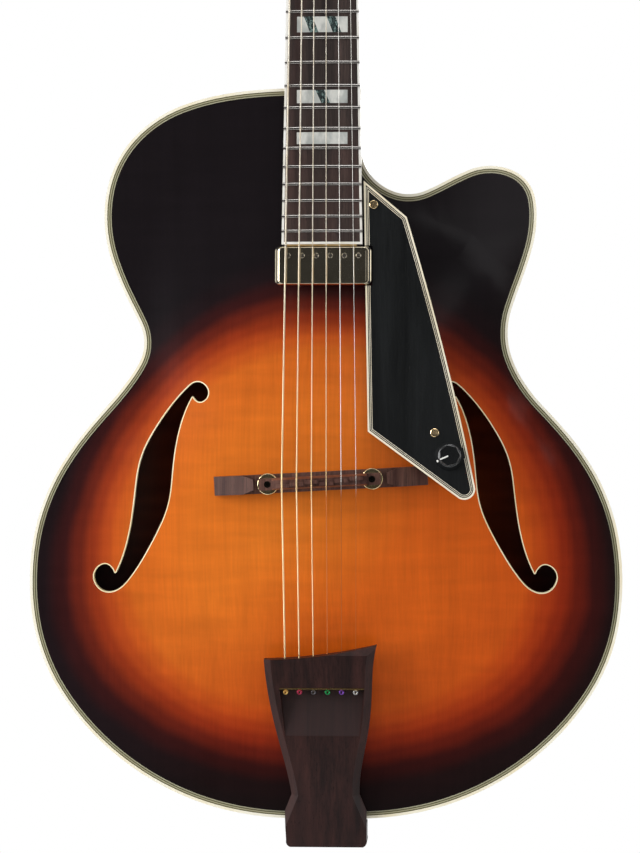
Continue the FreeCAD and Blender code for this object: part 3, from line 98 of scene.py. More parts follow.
class NodeKit:  # a node tree under construction
    def __init__(self, tree):
        self.tree = tree

    def put(self, value, socket):  # a plain value is set, an output is linked
        if isinstance(value, (int, float, str, tuple)):
            socket.default_value = value
        else:
            self.tree.links.new(value, socket)

    def add(self, kind, **values):
        step = self.tree.nodes.new(kind)
        for label, value in values.items():
            self.put(value, step.inputs[label.replace("_", " ")])
        return step

    def math(self, operation, *values):
        step = self.add("ShaderNodeMath")
        step.operation = operation
        for index, value in enumerate(values):
            self.put(value, step.inputs[index])
        return step.outputs[0]

    def noise(self, vector, scale, detail, roughness=0.5):
        return self.add("ShaderNodeTexNoise", Vector=vector, Scale=scale, Detail=detail,
                        Roughness=roughness).outputs["Fac"]

    def span(self, value, low, high, to=(0, 1)):
        return self.add("ShaderNodeMapRange", Value=value, From_Min=low, From_Max=high, To_Min=to[0],
                        To_Max=to[1]).outputs["Result"]

    def scaled(self, vector, factors):
        step = self.add("ShaderNodeVectorMath")
        step.operation = "MULTIPLY"
        self.put(vector, step.inputs[0])
        self.put(factors, step.inputs[1])
        return step.outputs[0]

    def axes(self, vector):
        return self.add("ShaderNodeSeparateXYZ", Vector=vector).outputs


def startGroup(name, family, takes, gives):
    tree = bpy.data.node_groups.new(name, family + "NodeTree")
    for side, sockets in (("INPUT", takes), ("OUTPUT", gives)):
        for label, kind, *value in sockets:
            socket = tree.interface.new_socket(label, in_out=side, socket_type="NodeSocket" + kind)
            if value:
                socket.default_value = value[0]
    kit = NodeKit(tree)
    return kit, kit.add("NodeGroupInput").outputs, kit.add("NodeGroupOutput").inputs


class Finish(NodeKit):  # a material under construction
    def __init__(self, name):
        self.material = bpy.data.materials.new(name)
        self.material.use_nodes = True
        super().__init__(self.material.node_tree)
        self.place = self.add("ShaderNodeTexCoord").outputs["Object"]

    def give(self, **values):  # to the shader's own sockets
        for label, value in values.items():
            self.put(value, self.tree.nodes["Principled BSDF"].inputs[label.replace("_", " ")])
        return self.material

    def group(self, tree, **values):
        step = self.add("ShaderNodeGroup")
        step.node_tree = tree
        for label, value in {"Place": self.place, **values}.items():
            self.put(value, step.inputs[label])
        return step.outputs

    def cloud(self, scale, detail, stretch=(1, 1, 1), roughness=0.5):
        return self.noise(self.scaled(self.place, stretch), scale, detail, roughness)

    def mix(self, share, first, second, kind="MIX"):
        step = self.add("ShaderNodeMix")
        step.data_type, step.blend_type = "RGBA", kind
        for index, value in ((0, share), (6, first), (7, second)):
            self.put(value, step.inputs[index])
        return step.outputs[2]

    def ramp(self, value, stops, smooth=True):
        step = self.add("ShaderNodeValToRGB", Fac=value)
        bar = step.color_ramp
        bar.interpolation = "EASE" if smooth else "CONSTANT"
        while len(bar.elements) < len(stops):
            bar.elements.new(1)
        for element, (at, colour) in zip(bar.elements, stops):
            element.position, element.color = at, tone(*colour)
        return step.outputs["Color"]

    def blotched(self, colour, dull, scale, low, high, detail=4):  # one colour clouded with another
        return self.mix(self.span(self.cloud(scale, detail), low, high), tone(*colour), tone(*dull))

    def burstColour(self, egg, stops):
        reach = self.group(burstGroup, **egg)["Reach"]
        return self.ramp(self.math("DIVIDE", reach, burstShape["rampEnd"]), stops)

    def bump(self, height, depth, strength=1):  # depth in mm
        step = self.add("ShaderNodeBump", Height=height, Distance=depth * mm, Strength=strength)
        self.give(Normal=step.outputs["Normal"])

    def handled(self, base, spread, depth=0.01):
        worn = self.group(handledGroup, Base=base, Spread=spread)
        self.give(Roughness=worn["Rough"])
        if depth:
            self.bump(worn["Height"], depth)

    def lacquered(self, colour, light, base, coatRough):  # wood under a clear coat
        self.handled(base, spread=0.12, depth=0.006)
        return self.give(Base_Color=self.mix(1.0, colour, light, "MULTIPLY"), Specular_IOR_Level=0.1,
                         Coat_Weight=0.5, Coat_Roughness=coatRough)


# camera, light and backdrop

studio = {"azimuth": 3.074, "elevation": 1.506, "distance": 2.2, "target": (-0.0032, 0, -0.5966),
          "lens": 127.67, "roll": -0.073, "clipEnd": 50, "fill": 0.42, "mirrorFront": 0.05,
          "wallRange": (-0.75, -0.2), "floorHeight": -1.3, "floorFront": -0.75, "floorBack": 1.9,
          "floorHalf": 1.6, "floorColour": (0.9, 0.9, 0.9, 1), "floorRough": 0.7}
bodyMiddle = (0, 0, -0.6)
lamps = {"keyLeft": {"spot": (-2.2, -1.2, 0), "aim": bodyMiddle, "size": (1.2, 2.0), "power": 54},
         "sideRight": {"spot": (2.5, -0.8, -0.2), "aim": bodyMiddle, "size": (1.0, 1.8), "power": 9},
         "topSoft": {"spot": (0, -1.0, 1.6), "aim": bodyMiddle, "size": (1.6, 0.8), "power": 14},
         "pane": {"spot": (0.36, -2.1, -0.22), "aim": (0.12, 0, -0.45), "size": (0.46, 0.42), "power": 0.4},
         "backSoft": {"spot": (0.4, 2.6, 0.4), "aim": bodyMiddle, "size": (2.2, 2.2), "power": 32}}


def pointAt(thing, spot, aim, roll=0):
    thing.location = spot
    thing.rotation_mode = "QUATERNION"
    thing.rotation_quaternion = ((Vector(aim) - Vector(spot)).to_track_quat("-Z", "Y")
                                 @ Quaternion((0, 0, 1), math.radians(roll)))


def makeCamera():
    turn, lift = math.radians(studio["azimuth"]), math.radians(studio["elevation"])
    back = Vector((math.sin(turn) * math.cos(lift), -math.cos(turn) * math.cos(lift), math.sin(lift)))
    data = bpy.data.cameras.new("camera")
    data.lens, data.clip_end = studio["lens"], studio["clipEnd"]
    scene.camera = addObject("camera", data)
    spot = Vector(studio["target"]) + back * studio["distance"]
    pointAt(scene.camera, spot, studio["target"], studio["roll"])


def makeWorld():
    scene.world = bpy.data.worlds.new("studio")
    scene.world.use_nodes = True
    kit = NodeKit(scene.world.node_tree)
    rays = kit.add("ShaderNodeLightPath").outputs
    facing = kit.axes(kit.add("ShaderNodeTexCoord").outputs["Generated"])["Y"]
    wall = kit.span(facing, *studio["wallRange"], (studio["mirrorFront"], 1))

    def choose(share, first, second):
        pick = kit.add("ShaderNodeMix")
        for index, value in ((0, share), (2, first), (3, second)):
            kit.put(value, pick.inputs[index])
        return pick.outputs[0]

    level = choose(rays["Is Glossy Ray"], studio["fill"], wall)  # the white wall is behind the guitar
    shown = kit.math("MAXIMUM", rays["Is Camera Ray"], rays["Is Transmission Ray"])
    shade = kit.tree.nodes["Background"].inputs
    kit.put(choose(shown, level, 1), shade["Strength"])
    kit.put((1, 1, 1, 1), shade["Color"])


def makeLamps():
    for name, values in lamps.items():
        light = bpy.data.lights.new(name, "AREA")
        light.shape = "RECTANGLE"
        light.size, light.size_y = values["size"]
        light.energy = values["power"]
        pointAt(addObject(name, light), values["spot"], values["aim"])


def makeFloor():
    half, front, back = studio["floorHalf"], studio["floorFront"], studio["floorBack"]
    corners = [(-half, front), (half, front), (half, back), (-half, back)]
    mesh = bpy.data.meshes.new("floor")
    mesh.from_pydata([(x, y, studio["floorHeight"]) for x, y in corners], [], [range(len(corners))])
    paint = Finish("paleFloor").give(Base_Color=studio["floorColour"], Roughness=studio["floorRough"])
    mesh.materials.append(paint)
    floor = addObject("floor", mesh)


makeCamera()
makeWorld()
makeLamps()
makeFloor()
print("studio ready")


# shared shader effects

fibres = {"wanderScale": 4.8, "drift": 0.008, "fibreStretch": (1, 0.6, 0.018), "poreStretch": (1, 1, 0.07),
          "poreScale": 1.6, "poreCut": (0.58, 0.72)}


def makeGrainGroup():  # long fibres along the guitar, fine lines and broad streaks
    kit, entry, leave = startGroup(
        "longGrain", "Shader", [("Place", "Vector"), ("Lines", "Float", 700), ("Streaks", "Float", 60)],
        [("Fine", "Float"), ("Broad", "Float"), ("Pores", "Float")])
    wander = kit.noise(entry["Place"], fibres["wanderScale"], detail=2)
    axes = kit.axes(entry["Place"])
    drift = kit.math("MULTIPLY_ADD", wander, fibres["drift"], axes["X"])
    place = kit.add("ShaderNodeCombineXYZ", X=drift, Y=axes["Y"], Z=axes["Z"]).outputs[0]
    along = kit.scaled(place, fibres["fibreStretch"])
    kit.put(kit.noise(along, entry["Lines"], detail=3, roughness=0.6), leave["Fine"])
    kit.put(kit.noise(along, entry["Streaks"], detail=3, roughness=0.55), leave["Broad"])
    density = kit.math("MULTIPLY", entry["Lines"], fibres["poreScale"])
    specks = kit.noise(kit.scaled(place, fibres["poreStretch"]), density, detail=2, roughness=0.7)
    kit.put(kit.span(specks, *fibres["poreCut"]), leave["Pores"])
    return kit.tree


wear = {"smearScale": 22, "smearShare": 0.7, "hairScale": 900, "hairShare": 0.3, "hairStretch": (1, 1, 0.12)}


def makeHandledGroup():  # faint smears and hairline marks of a handled finish
    kit, entry, leave = startGroup(
        "handledFinish", "Shader", [("Place", "Vector"), ("Base", "Float", 0.2), ("Spread", "Float", 0.1)],
        [("Rough", "Float"), ("Height", "Float")])
    smear = kit.noise(entry["Place"], wear["smearScale"], detail=5, roughness=0.6)
    hair = kit.noise(kit.scaled(entry["Place"], wear["hairStretch"]), wear["hairScale"], 2, roughness=0.6)
    both = kit.math("ADD", kit.math("MULTIPLY", smear, wear["smearShare"]),
                    kit.math("MULTIPLY", hair, wear["hairShare"]))
    centred = kit.math("SUBTRACT", both, 0.5)
    kit.put(kit.math("MULTIPLY_ADD", centred, entry["Spread"], entry["Base"]), leave["Rough"])
    kit.put(both, leave["Height"])
    return kit.tree


burstShape = {"shoulder": 2.1, "wobble": 0.05, "wobbleScale": 14, "rampEnd": 1.3}  # shoulder 2 is an ellipse


def makeBurstGroup():  # how far out a point lies on the egg-shaped sunburst
    kit, entry, leave = startGroup(
        "burstReach", "Shader",
        [("Place", "Vector"), ("Middle X", "Float", 0), ("Middle Z", "Float", 0), ("Taper", "Float", 1),
         ("Half Width", "Float", 0.18), ("Half Height", "Float", 0.16)], [("Reach", "Float")])
    axes = kit.axes(entry["Place"])
    across = kit.math("SUBTRACT", axes["X"], entry["Middle X"])
    up = kit.math("SUBTRACT", axes["Z"], entry["Middle Z"])
    shrink = kit.math("SUBTRACT", 1, kit.math("MULTIPLY", up, entry["Taper"]))
    wide = kit.math("MULTIPLY", entry["Half Width"], shrink)
    parts = [kit.math("POWER", kit.math("ABSOLUTE", kit.math("DIVIDE", run, half)), burstShape["shoulder"])
             for run, half in ((across, wide), (up, entry["Half Height"]))]
    reach = kit.math("POWER", kit.math("ADD", *parts), 1 / burstShape["shoulder"])
    cloud = kit.math("SUBTRACT", kit.noise(entry["Place"], burstShape["wobbleScale"], detail=3), 0.5)
    kit.put(kit.math("MULTIPLY_ADD", cloud, burstShape["wobble"], reach), leave["Reach"])
    return kit.tree


grainGroup, handledGroup, burstGroup = makeGrainGroup(), makeHandledGroup(), makeBurstGroup()


# finishes

noiseRange = (0.3, 0.7)  # where most noise values lie
burst = {"egg": {"Middle X": 0.0023, "Middle Z": -0.673, "Half Width": 0.1837, "Half Height": 0.1695,
                 "Taper": 0.98},
         "stops": [(0.0, (227, 124, 35)), (0.36, (220, 113, 30)), (0.592, (208, 101, 27)),
                   (0.636, (195, 86, 24)), (0.671, (174, 68, 21)), (0.709, (142, 48, 17)),
                   (0.752, (100, 31, 17)), (0.8, (54, 19, 19)), (0.856, (30, 19, 22)), (0.93, (24, 19, 22))],
         "redLean": -0.8, "redRange": (-0.04, 0.06), "redTint": (0.94, 0.69, 0.58, 1), "lines": 620,
         "streaks": 85, "fine": (0.93, 1.05), "broad": (-0.06, 0.06), "silkScale": 60,
         "silkStretch": (0.3, 1, 1.8), "silk": (0.92, 1.07)}


def lacquerTop():
    skin = Finish("sunburstSpruce")
    colour = skin.burstColour(burst["egg"], burst["stops"])
    axes = skin.axes(skin.place)
    rise = skin.math("SUBTRACT", axes["Z"], burst["egg"]["Middle Z"])
    lower = skin.math("MULTIPLY_ADD", rise, burst["redLean"], axes["X"])
    treble = skin.span(lower, *burst["redRange"])  # redder low down and towards the treble side
    colour = skin.mix(treble, colour, skin.mix(1.0, colour, burst["redTint"], "MULTIPLY"))
    grain = skin.group(grainGroup, Lines=burst["lines"], Streaks=burst["streaks"])
    silk = skin.cloud(burst["silkScale"], 4, burst["silkStretch"])
    light = skin.math("ADD", skin.span(grain["Fine"], *noiseRange, burst["fine"]),
                      skin.span(grain["Broad"], *noiseRange, burst["broad"]))
    light = skin.math("MULTIPLY", light, skin.span(silk, *noiseRange, burst["silk"]))
    return skin.lacquered(colour, light, base=0.32, coatRough=0.15)


maple = {"lines": 900, "streaks": 120, "curlRange": (0.35, 0.65), "curl": (0.62, 1.18), "fine": (-0.07, 0.05)}
mapleLooks = {
    "flamed_back": {
        "name": "sunburstMapleBack", "flame": 46, "along": (0.16, 1, 1),
        "egg": {"Middle Z": -0.66, "Half Width": 0.2, "Half Height": 0.2, "Taper": 0.6},
        "stops": [(0.0, (196, 104, 38)), (0.3, (178, 84, 30)), (0.5, (140, 56, 24)), (0.64, (92, 34, 22)),
                  (0.76, (48, 20, 20)), (0.9, (24, 16, 18))]},
    "flamed_ribs": {
        "name": "flamedMapleRibs", "flame": 52, "along": (1, 0.12, 1),
        "egg": {"Middle Z": -0.62, "Half Width": 0.3, "Half Height": 0.34, "Taper": 0},
        "stops": [(0.0, (92, 36, 24)), (0.5, (74, 28, 22)), (0.8, (46, 20, 20)), (1.0, (30, 16, 18))]},
    "neck_lacquer": {
        "name": "darkMapleNeck", "flame": 60, "along": (0.15, 0.3, 1),
        "egg": {"Middle Z": -0.15, "Half Width": 0.2, "Half Height": 0.5, "Taper": 0},
        "stops": [(0.0, (86, 34, 22)), (0.5, (70, 28, 20)), (0.9, (40, 20, 18)), (1.0, (32, 16, 16))]}}


def lacquerMaple(name, stops, egg, flame, along):
    skin = Finish(name)
    colour = skin.burstColour(egg, stops)
    curl = skin.cloud(flame, 2, along, roughness=0.45)
    fine = skin.group(grainGroup, Lines=maple["lines"], Streaks=maple["streaks"])["Fine"]
    light = skin.math("ADD", skin.span(curl, *maple["curlRange"], maple["curl"]),
                      skin.span(fine, *noiseRange, maple["fine"]))
    return skin.lacquered(colour, light, base=0.3, coatRough=0.24)


wood = {"streakRange": (0.32, 0.68), "lineRange": (0.35, 0.65), "lineShare": 0.55, "lineShade": 0.62,
        "mottleScale": 30, "mottleStretch": (1, 1, 0.12), "mottleRange": (0.5, 0.72), "mottleShare": 0.6,
        "poreShare": 0.65, "poreShade": 0.35, "poreRough": 0.15, "wearHeight": 0.3, "bump": 0.6}


def patchShare(skin, patch):  # where a smoother field with its own tint lies
    axes = skin.axes(skin.place)
    low, high, soft = patch["low"], patch["high"], patch["soft"]
    reach = skin.math("ABSOLUTE", skin.math("SUBTRACT", axes["X"], patch["middle"]))
    limit = skin.span(axes["Z"], low, high, (patch["halfLow"], patch["halfHigh"]))
    sides = skin.span(skin.math("SUBTRACT", limit, reach), 0, soft["side"])
    ends = skin.math("MULTIPLY", skin.span(axes["Z"], low, low + soft["low"]),
                     skin.span(axes["Z"], high, high - soft["high"]))
    return skin.math("MULTIPLY", skin.math("MULTIPLY", sides, ends), patch["share"])


def bareWood(name, pale, dark, lines, streaks, base, spread=0.1, poreDepth=0.08, coat=0, mottled=None,
             patch=None, shine=0.3):
    skin = Finish(name)
    grain = skin.group(grainGroup, Lines=lines, Streaks=streaks)
    pores = grain["Pores"]
    body = skin.mix(skin.span(grain["Broad"], *wood["streakRange"]), tone(*dark), tone(*pale))
    line = skin.span(grain["Fine"], *wood["lineRange"], (0, wood["lineShare"]))
    body = skin.mix(line, body, tone(*dimmed(dark, wood["lineShade"])))
    if mottled:
        cloud = skin.cloud(wood["mottleScale"], 3, wood["mottleStretch"])
        share = skin.span(cloud, *wood["mottleRange"], (0, wood["mottleShare"]))
        body = skin.mix(share, body, tone(*mottled))
    pore = tone(*dimmed(dark, wood["poreShade"]))
    body = skin.mix(skin.math("MULTIPLY", pores, wood["poreShare"]), body, pore)
    if patch:
        body = skin.mix(patchShare(skin, patch), body, tone(*patch["colour"]))
    worn = skin.group(handledGroup, Base=base, Spread=spread)
    rough = skin.math("MULTIPLY_ADD", pores, wood["poreRough"], worn["Rough"])
    height = skin.math("SUBTRACT", skin.math("MULTIPLY", worn["Height"], wood["wearHeight"]), pores)
    skin.bump(height, poreDepth, wood["bump"])
    return skin.give(Base_Color=body, Roughness=rough, Specular_IOR_Level=shine, Coat_Weight=coat,
                     Coat_Roughness=0.15)


def plainPlastic(name, colour, stain, base=0.25, coat=0.5, shine=0.5):
    skin = Finish(name)
    skin.handled(base, spread=0.15)
    return skin.give(Base_Color=skin.blotched(colour, stain, scale=35, low=0.4, high=0.7), Coat_Weight=coat,
                     Coat_Roughness=0.08, Specular_IOR_Level=shine)


def metal(name, colour, dull, base=0.15, spread=0.12):
    skin = Finish(name)
    skin.handled(base, spread, depth=0.004)
    return skin.give(Base_Color=skin.blotched(colour, dull, scale=60, low=0.45, high=0.75), Metallic=1.0)


shellFolds = {"folds": 0.75, "waves": 0.25, "waveScale": 2.3}


def pearlShell(name, stops, scale, stretch):
    skin = Finish(name)
    folds = skin.cloud(scale, 4, stretch, roughness=0.55)
    waves = skin.cloud(scale * shellFolds["waveScale"], 2, stretch)
    share = skin.math("ADD", skin.math("MULTIPLY", folds, shellFolds["folds"]),
                      skin.math("MULTIPLY", waves, shellFolds["waves"]))
    skin.handled(base=0.18, spread=0.1)
    return skin.give(Base_Color=skin.ramp(skin.span(share, *noiseRange), stops), Coat_Weight=0.6,
                     Coat_Roughness=0.05)


def pliedEdge(name, plies, grime, grimeShare):  # thin layers side by side, read across the strip
    skin = Finish(name)
    across = skin.add("ShaderNodeAttribute")
    across.attribute_name = "acrossStrip"
    colour = skin.ramp(across.outputs["Fac"], plies, smooth=False)
    stain = skin.span(skin.cloud(40, 4), 0.45, 0.75, (0, grimeShare))
    skin.handled(base=0.22, spread=0.12)
    return skin.give(Base_Color=skin.mix(stain, colour, tone(*grime)), Coat_Weight=0.6, Coat_Roughness=0.07)


# warm tint lower down on wound strings, and a painted reflection of the orange top on the strings behind the
# bridge
stringTintAndReflection = {"warm": (255, 226, 172), "warmRange": (-0.45, -0.6), "paintedTopReflection": (205, 122, 68),
          "bridgeRange": (-0.636, -0.646), "trebleRange": (0, 0.003), "windDepth": 0.04}


def stringWire(name, colour, dull, spread, turnsPerMetre=0):  # with turns it is a wound string
    skin = Finish(name)
    axes = skin.axes(skin.place)
    silver = skin.blotched(colour, dull, scale=80, low=0.4, high=0.7, detail=3)
    if turnsPerMetre:
        warm = skin.span(axes["Z"], *stringTintAndReflection["warmRange"])
        silver = skin.mix(warm, silver, tone(*stringTintAndReflection["warm"]))
        wave = skin.math("SINE", skin.math("MULTIPLY", axes["Z"], turnsPerMetre * fullTurn))
        skin.bump(wave, stringTintAndReflection["windDepth"], strength=0.7)
    behind = skin.span(axes["Z"], *stringTintAndReflection["bridgeRange"])
    treble = skin.span(axes["X"], *stringTintAndReflection["trebleRange"])
    paintedTopReflection = skin.math("MULTIPLY", behind, treble)  # painted reflection of the orange top, behind the bridge on the treble half
    skin.handled(0.3, spread, depth=0)
    return skin.give(Base_Color=skin.mix(paintedTopReflection, silver, tone(*stringTintAndReflection["paintedTopReflection"])), Metallic=1.0)


tailPatch = {"middle": -0.0005, "halfLow": 0.027, "halfHigh": 0.0305, "low": -0.8198, "high": -0.784,
             "soft": {"side": 0.0008, "low": 0.001, "high": 0.0005}, "colour": (60, 49, 49), "share": 0.55}
finishes = {slot: lacquerMaple(**look) for slot, look in mapleLooks.items()}
finishes.update({
    "sunburst_top": lacquerTop(),
    "cream_binding": plainPlastic("agedCream", (254, 249, 230), (247, 236, 204), base=0.24),
    "inner_spruce": bareWood("insideSpruce", (206, 170, 116), (170, 128, 80), 700, 60, base=0.6),
    "inner_block": bareWood("insideBlock", (176, 120, 78), (134, 84, 52), 600, 50, base=0.6),
    "rod_steel": metal("rodSteel", (150, 150, 152), (120, 118, 116), base=0.35),
    "black_cap": plainPlastic("blackCap", (18, 17, 18), (30, 28, 28), base=0.2),
    "ebony_face": bareWood("ebonyFace", (26, 23, 23), (14, 12, 13), 800, 70, base=0.42, spread=0.08,
                           poreDepth=0.02, coat=0.12),
    "gold_plate": metal("goldPlate", (226, 184, 104), (196, 150, 80), base=0.14),
    "fretboard_wood": bareWood("boardRosewood", (82, 67, 62), (49, 41, 39), 900, 110, base=0.42, spread=0.15,
                               poreDepth=0.06, coat=0.05, mottled=(92, 60, 54)),
    "fret_wire": metal("fretWire", (172, 168, 164), (146, 142, 138), base=0.26),
    "pearl": pearlShell("motherOfPearl", [
        (0.0, (140, 144, 142)), (0.4, (180, 183, 179)), (0.7, (216, 216, 210)), (1.0, (172, 176, 174))],
        scale=60, stretch=(1, 1, 0.5)),
    "shell": pearlShell("darkShell", [
        (0.0, (24, 27, 27)), (0.3, (60, 72, 70)), (0.5, (32, 40, 42)), (0.72, (122, 144, 140)),
        (0.86, (42, 54, 56)), (1.0, (70, 72, 80))], scale=430, stretch=(1, 1, 0.6)),
    "bone": plainPlastic("boneNut", (226, 216, 188), (204, 188, 150), base=0.35, coat=0.2),
    "bridge_wood": bareWood("bridgeRosewood", (120, 84, 72), (78, 48, 42), 900, 150, base=0.4, spread=0.15,
                            poreDepth=0.05, coat=0.1, mottled=(138, 102, 92)),
    "dark_steel": metal("darkSteel", (70, 64, 58), (48, 44, 42), base=0.3),
    "brass": metal("turnedBrass", (238, 202, 134), (214, 172, 106), base=0.26),
    "tailpiece_wood": bareWood("tailRosewood", (60, 33, 29), (31, 16, 15), 800, 120, base=0.44, spread=0.14,
                               poreDepth=0.06, coat=0.04, mottled=(74, 42, 38), patch=tailPatch, shine=0.2),
    "pickup_metal": metal("nickelCover", (200, 190, 168), (180, 168, 142), base=0.1, spread=0.08),
    "coil_former": plainPlastic("coilFormer", (22, 22, 22), (34, 32, 30), base=0.5, coat=0),
    "guard_wood": bareWood("ebonyGuard", (27, 29, 30), (12, 14, 15), 1100, 90, base=0.34, spread=0.12,
                           poreDepth=0.06, coat=0.1, mottled=(34, 36, 37)),
    "guard_edge": plainPlastic("whitePly", (250, 241, 217), (238, 225, 194)),
    "layered_purfling": pliedEdge("layeredPurfling", [
        (0.0, (98, 94, 64)), (0.22, (168, 164, 134)), (0.45, (90, 86, 60)), (0.66, (170, 167, 140)),
        (0.87, (28, 24, 22))], grime=(120, 100, 62), grimeShare=0.2),
    "guard_support": bareWood("guardSupport", (60, 46, 40), (34, 26, 24), 800, 90, base=0.4),
    "pot_metal": metal("potMetal", (160, 158, 152), (130, 126, 120), base=0.35),
    "black_knob": plainPlastic("blackKnob", (14, 15, 16), (20, 21, 22), base=0.16, coat=0),
    "wound_string": stringWire("woundString", (242, 234, 218), (222, 208, 184), 0.15, turnsPerMetre=2400),
    "plain_string": stringWire("plainString", (240, 238, 232), (220, 216, 208), 0.12),
})
print("finishes ready:", len(finishes))

paleBrass = metal("paleBrass", (255, 236, 188), (244, 214, 150), base=0.16, spread=0.06)
blackPly = plainPlastic("blackPly", (20, 20, 22), (32, 31, 31))
blackSkirt = plainPlastic("blackSkirt", (12, 14, 15), (18, 20, 21), base=0.5, coat=0, shine=0.08)
# lighter colour for the knob's eased edges: a painted highlight, with a real glossy coat over it
knobEdgeHighlight = plainPlastic("rubbedKnobEdge", (28, 31, 32), (22, 25, 26), base=0.22, coat=1.0)
ownLook = {
    "fretboard_binding": plainPlastic("whiteBoardEdging", (244, 243, 238), (226, 220, 204)),
    "f_hole_bindings": plainPlastic("goldenEdging", (253, 240, 202), (242, 222, 172), base=0.3, coat=0.2),
    "pickup_bracket": metal("satinGold", (250, 214, 150), (236, 192, 120), base=0.5)}
for name, node in nodes.items():
    node.data.materials.clear()
    node.data.materials.append(ownLook.get(name, finishes[slotOf[name]]))


# shapes made here

mergeGap, axisGap = 0.001 * mm, 0.01 * mm  # axisGap is the width left at a lathe's pole


def mergedCopy(name):  # a CAD node's loose triangles, joined up
    work = bmesh.new()
    work.from_mesh(nodes[name].data)
    bmesh.ops.remove_doubles(work, verts=work.verts, dist=mergeGap)
    return work


def gathered(meshes):
    work = bmesh.new()
    for mesh in meshes:
        work.from_mesh(mesh)
    return work


def loft(work, rings, caps=(0, -1)):  # walls from ring to ring, and caps over the rings named
    made = [work.faces.new(rings[cap]) for cap in caps]
    for here, below in zip(rings, rings[1:]):
        for index in range(len(here)):
            after = (index + 1) % len(here)
            made.append(work.faces.new((here[index], below[index], below[after], here[after])))
    return made


def lathe(profile, steps, middle, axis):  # profile of (radius, along) turned about axis
    turned = bmesh.new()
    axis = Vector(axis).normalized()
    side = axis.orthogonal().normalized()
    other = axis.cross(side)
    rings = []
    for step in range(steps):
        turn = fullTurn * step / steps
        out = side * math.cos(turn) + other * math.sin(turn)
        rings.append([turned.verts.new(Vector(middle) + out * radius + axis * along)
                      for radius, along in profile])
    loft(turned, rings + rings[:1], caps=())
    return turned


def settle(work, name, materials=(), outward=True):  # the finished shape as a mesh
    if outward:
        bmesh.ops.recalc_face_normals(work, faces=work.faces)
    mesh = bpy.data.meshes.new(name)
    for material in materials:
        mesh.materials.append(material)
    work.to_mesh(mesh)
    work.free()
    return mesh


def addPiece(name, mesh, body, standsFor):
    piece = addObject(name, mesh)
    if body:
        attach(piece, body)
    if standsFor:
        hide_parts(*standsFor)
    return piece


def solidBoxes(name, turn):  # low and high corner of each solid of a node, in the given frame
    work, back = mergedCopy(name), turn.inverted()
    seen, boxes = set(), []
    for start in work.verts:
        stack, group = [start], []
        while stack:
            vertex = stack.pop()
            if vertex not in seen:
                seen.add(vertex)
                group.append(back @ vertex.co)
                stack += [edge.other_vert(vertex) for edge in vertex.link_edges]
        if group:
            boxes.append([Vector([pick(values) for values in zip(*group)]) for pick in (min, max)])
    work.free()
    return boxes


def nodeMesh(name, data, tree, **values):  # runs a node tree and keeps the plain mesh
    carrier = addObject(name + "Carrier", data)
    step = carrier.modifiers.new(name, "NODES")
    step.node_group = tree
    for item in tree.interface.items_tree:
        if item.in_out == "INPUT" and item.name in values:
            step[item.identifier] = values[item.name]
    bpy.context.view_layer.update()
    mesh = bpy.data.meshes.new_from_object(carrier.evaluated_get(bpy.context.evaluated_depsgraph_get()))
    carrier.modifiers.remove(step)
    bpy.data.objects.remove(carrier)
    mesh.name = name
    return mesh


def endTree(kit, shape, entry, leave):  # real faces, painted
    solid = kit.add("GeometryNodeRealizeInstances", Geometry=shape).outputs["Geometry"]
    paint = kit.add("GeometryNodeSetMaterial", Geometry=solid, Material=entry["Finish"])
    kit.put(paint.outputs["Geometry"], leave["Geometry"])
    return kit.tree


# purfling in layers

purfling = {"node": "top_purfling", "neighbour": "top_binding", "touch": 0.3}


def makePurfling():  # the CAD strip, with its width measured from its neighbour
    name, slot = purfling["node"], slotOf[purfling["node"]]
    mesh = settle(mergedCopy(name), name + "Layers", [finishes[slot]], outward=False)
    other = nodes[purfling["neighbour"]].data
    near = BVHTree.FromPolygons([v.co for v in other.vertices], [p.vertices for p in other.polygons])
    reach = purfling["touch"] * mm
    values = [0 if near.find_nearest(vertex.co)[3] < reach else 1 for vertex in mesh.vertices]
    mesh.attributes.new("acrossStrip", "FLOAT", "POINT").data.foreach_set("value", values)
    addPiece(name + "_layers", mesh, nodes[name]["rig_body"], [name])
    print("layered purfling ready")


makePurfling()


# pickguard edge, ply by ply

neckSlope = math.radians(4)
neckTurn = Matrix.Rotation(-neckSlope, 4, "X")  # along the fretboard
guard = {"left": 29.8, "start": 420.5, "width": 80, "length": 224, "tipRadius": 7.9, "front": 3, "back": 6.5,
         "upper": (0, 0), "corner": (0.385, -0.117), "side": (0.616, -0.405), "tip": (0.9, -0.985),
         "heel": (0.04, -0.803), "plies": (0, 1.35, 2.05, 2.4, 3.1, 3.45, 4.2), "steps": 40,
         "cutRight": 34, "cutRange": (440, 520)}


def guardSpot(label):
    across, down = guard[label]
    return Vector((guard["left"] + across * guard["width"], -guard["start"] + down * guard["length"]))


def arcThrough(first, second, third, steps):
    ax, ay, bx, by, cx, cy = *first, *second, *third
    scale = 2 * (ax * (by - cy) + bx * (cy - ay) + cx * (ay - by))
    a2, b2, c2 = ax * ax + ay * ay, bx * bx + by * by, cx * cx + cy * cy
    middle = Vector(((a2 * (by - cy) + b2 * (cy - ay) + c2 * (ay - by)) / scale,
                     (a2 * (cx - bx) + b2 * (ax - cx) + c2 * (bx - ax)) / scale))
    start, bulge, end = (math.atan2(*(spot - middle).yx) for spot in (first, second, third))
    sweep = (end - start) % fullTurn
    if (bulge - start) % fullTurn > sweep:
        sweep -= fullTurn
    radius = (first - middle).length
    turns = [start + sweep * step / steps for step in range(steps + 1)]
    return [middle + radius * Vector((math.cos(turn), math.sin(turn))) for turn in turns]


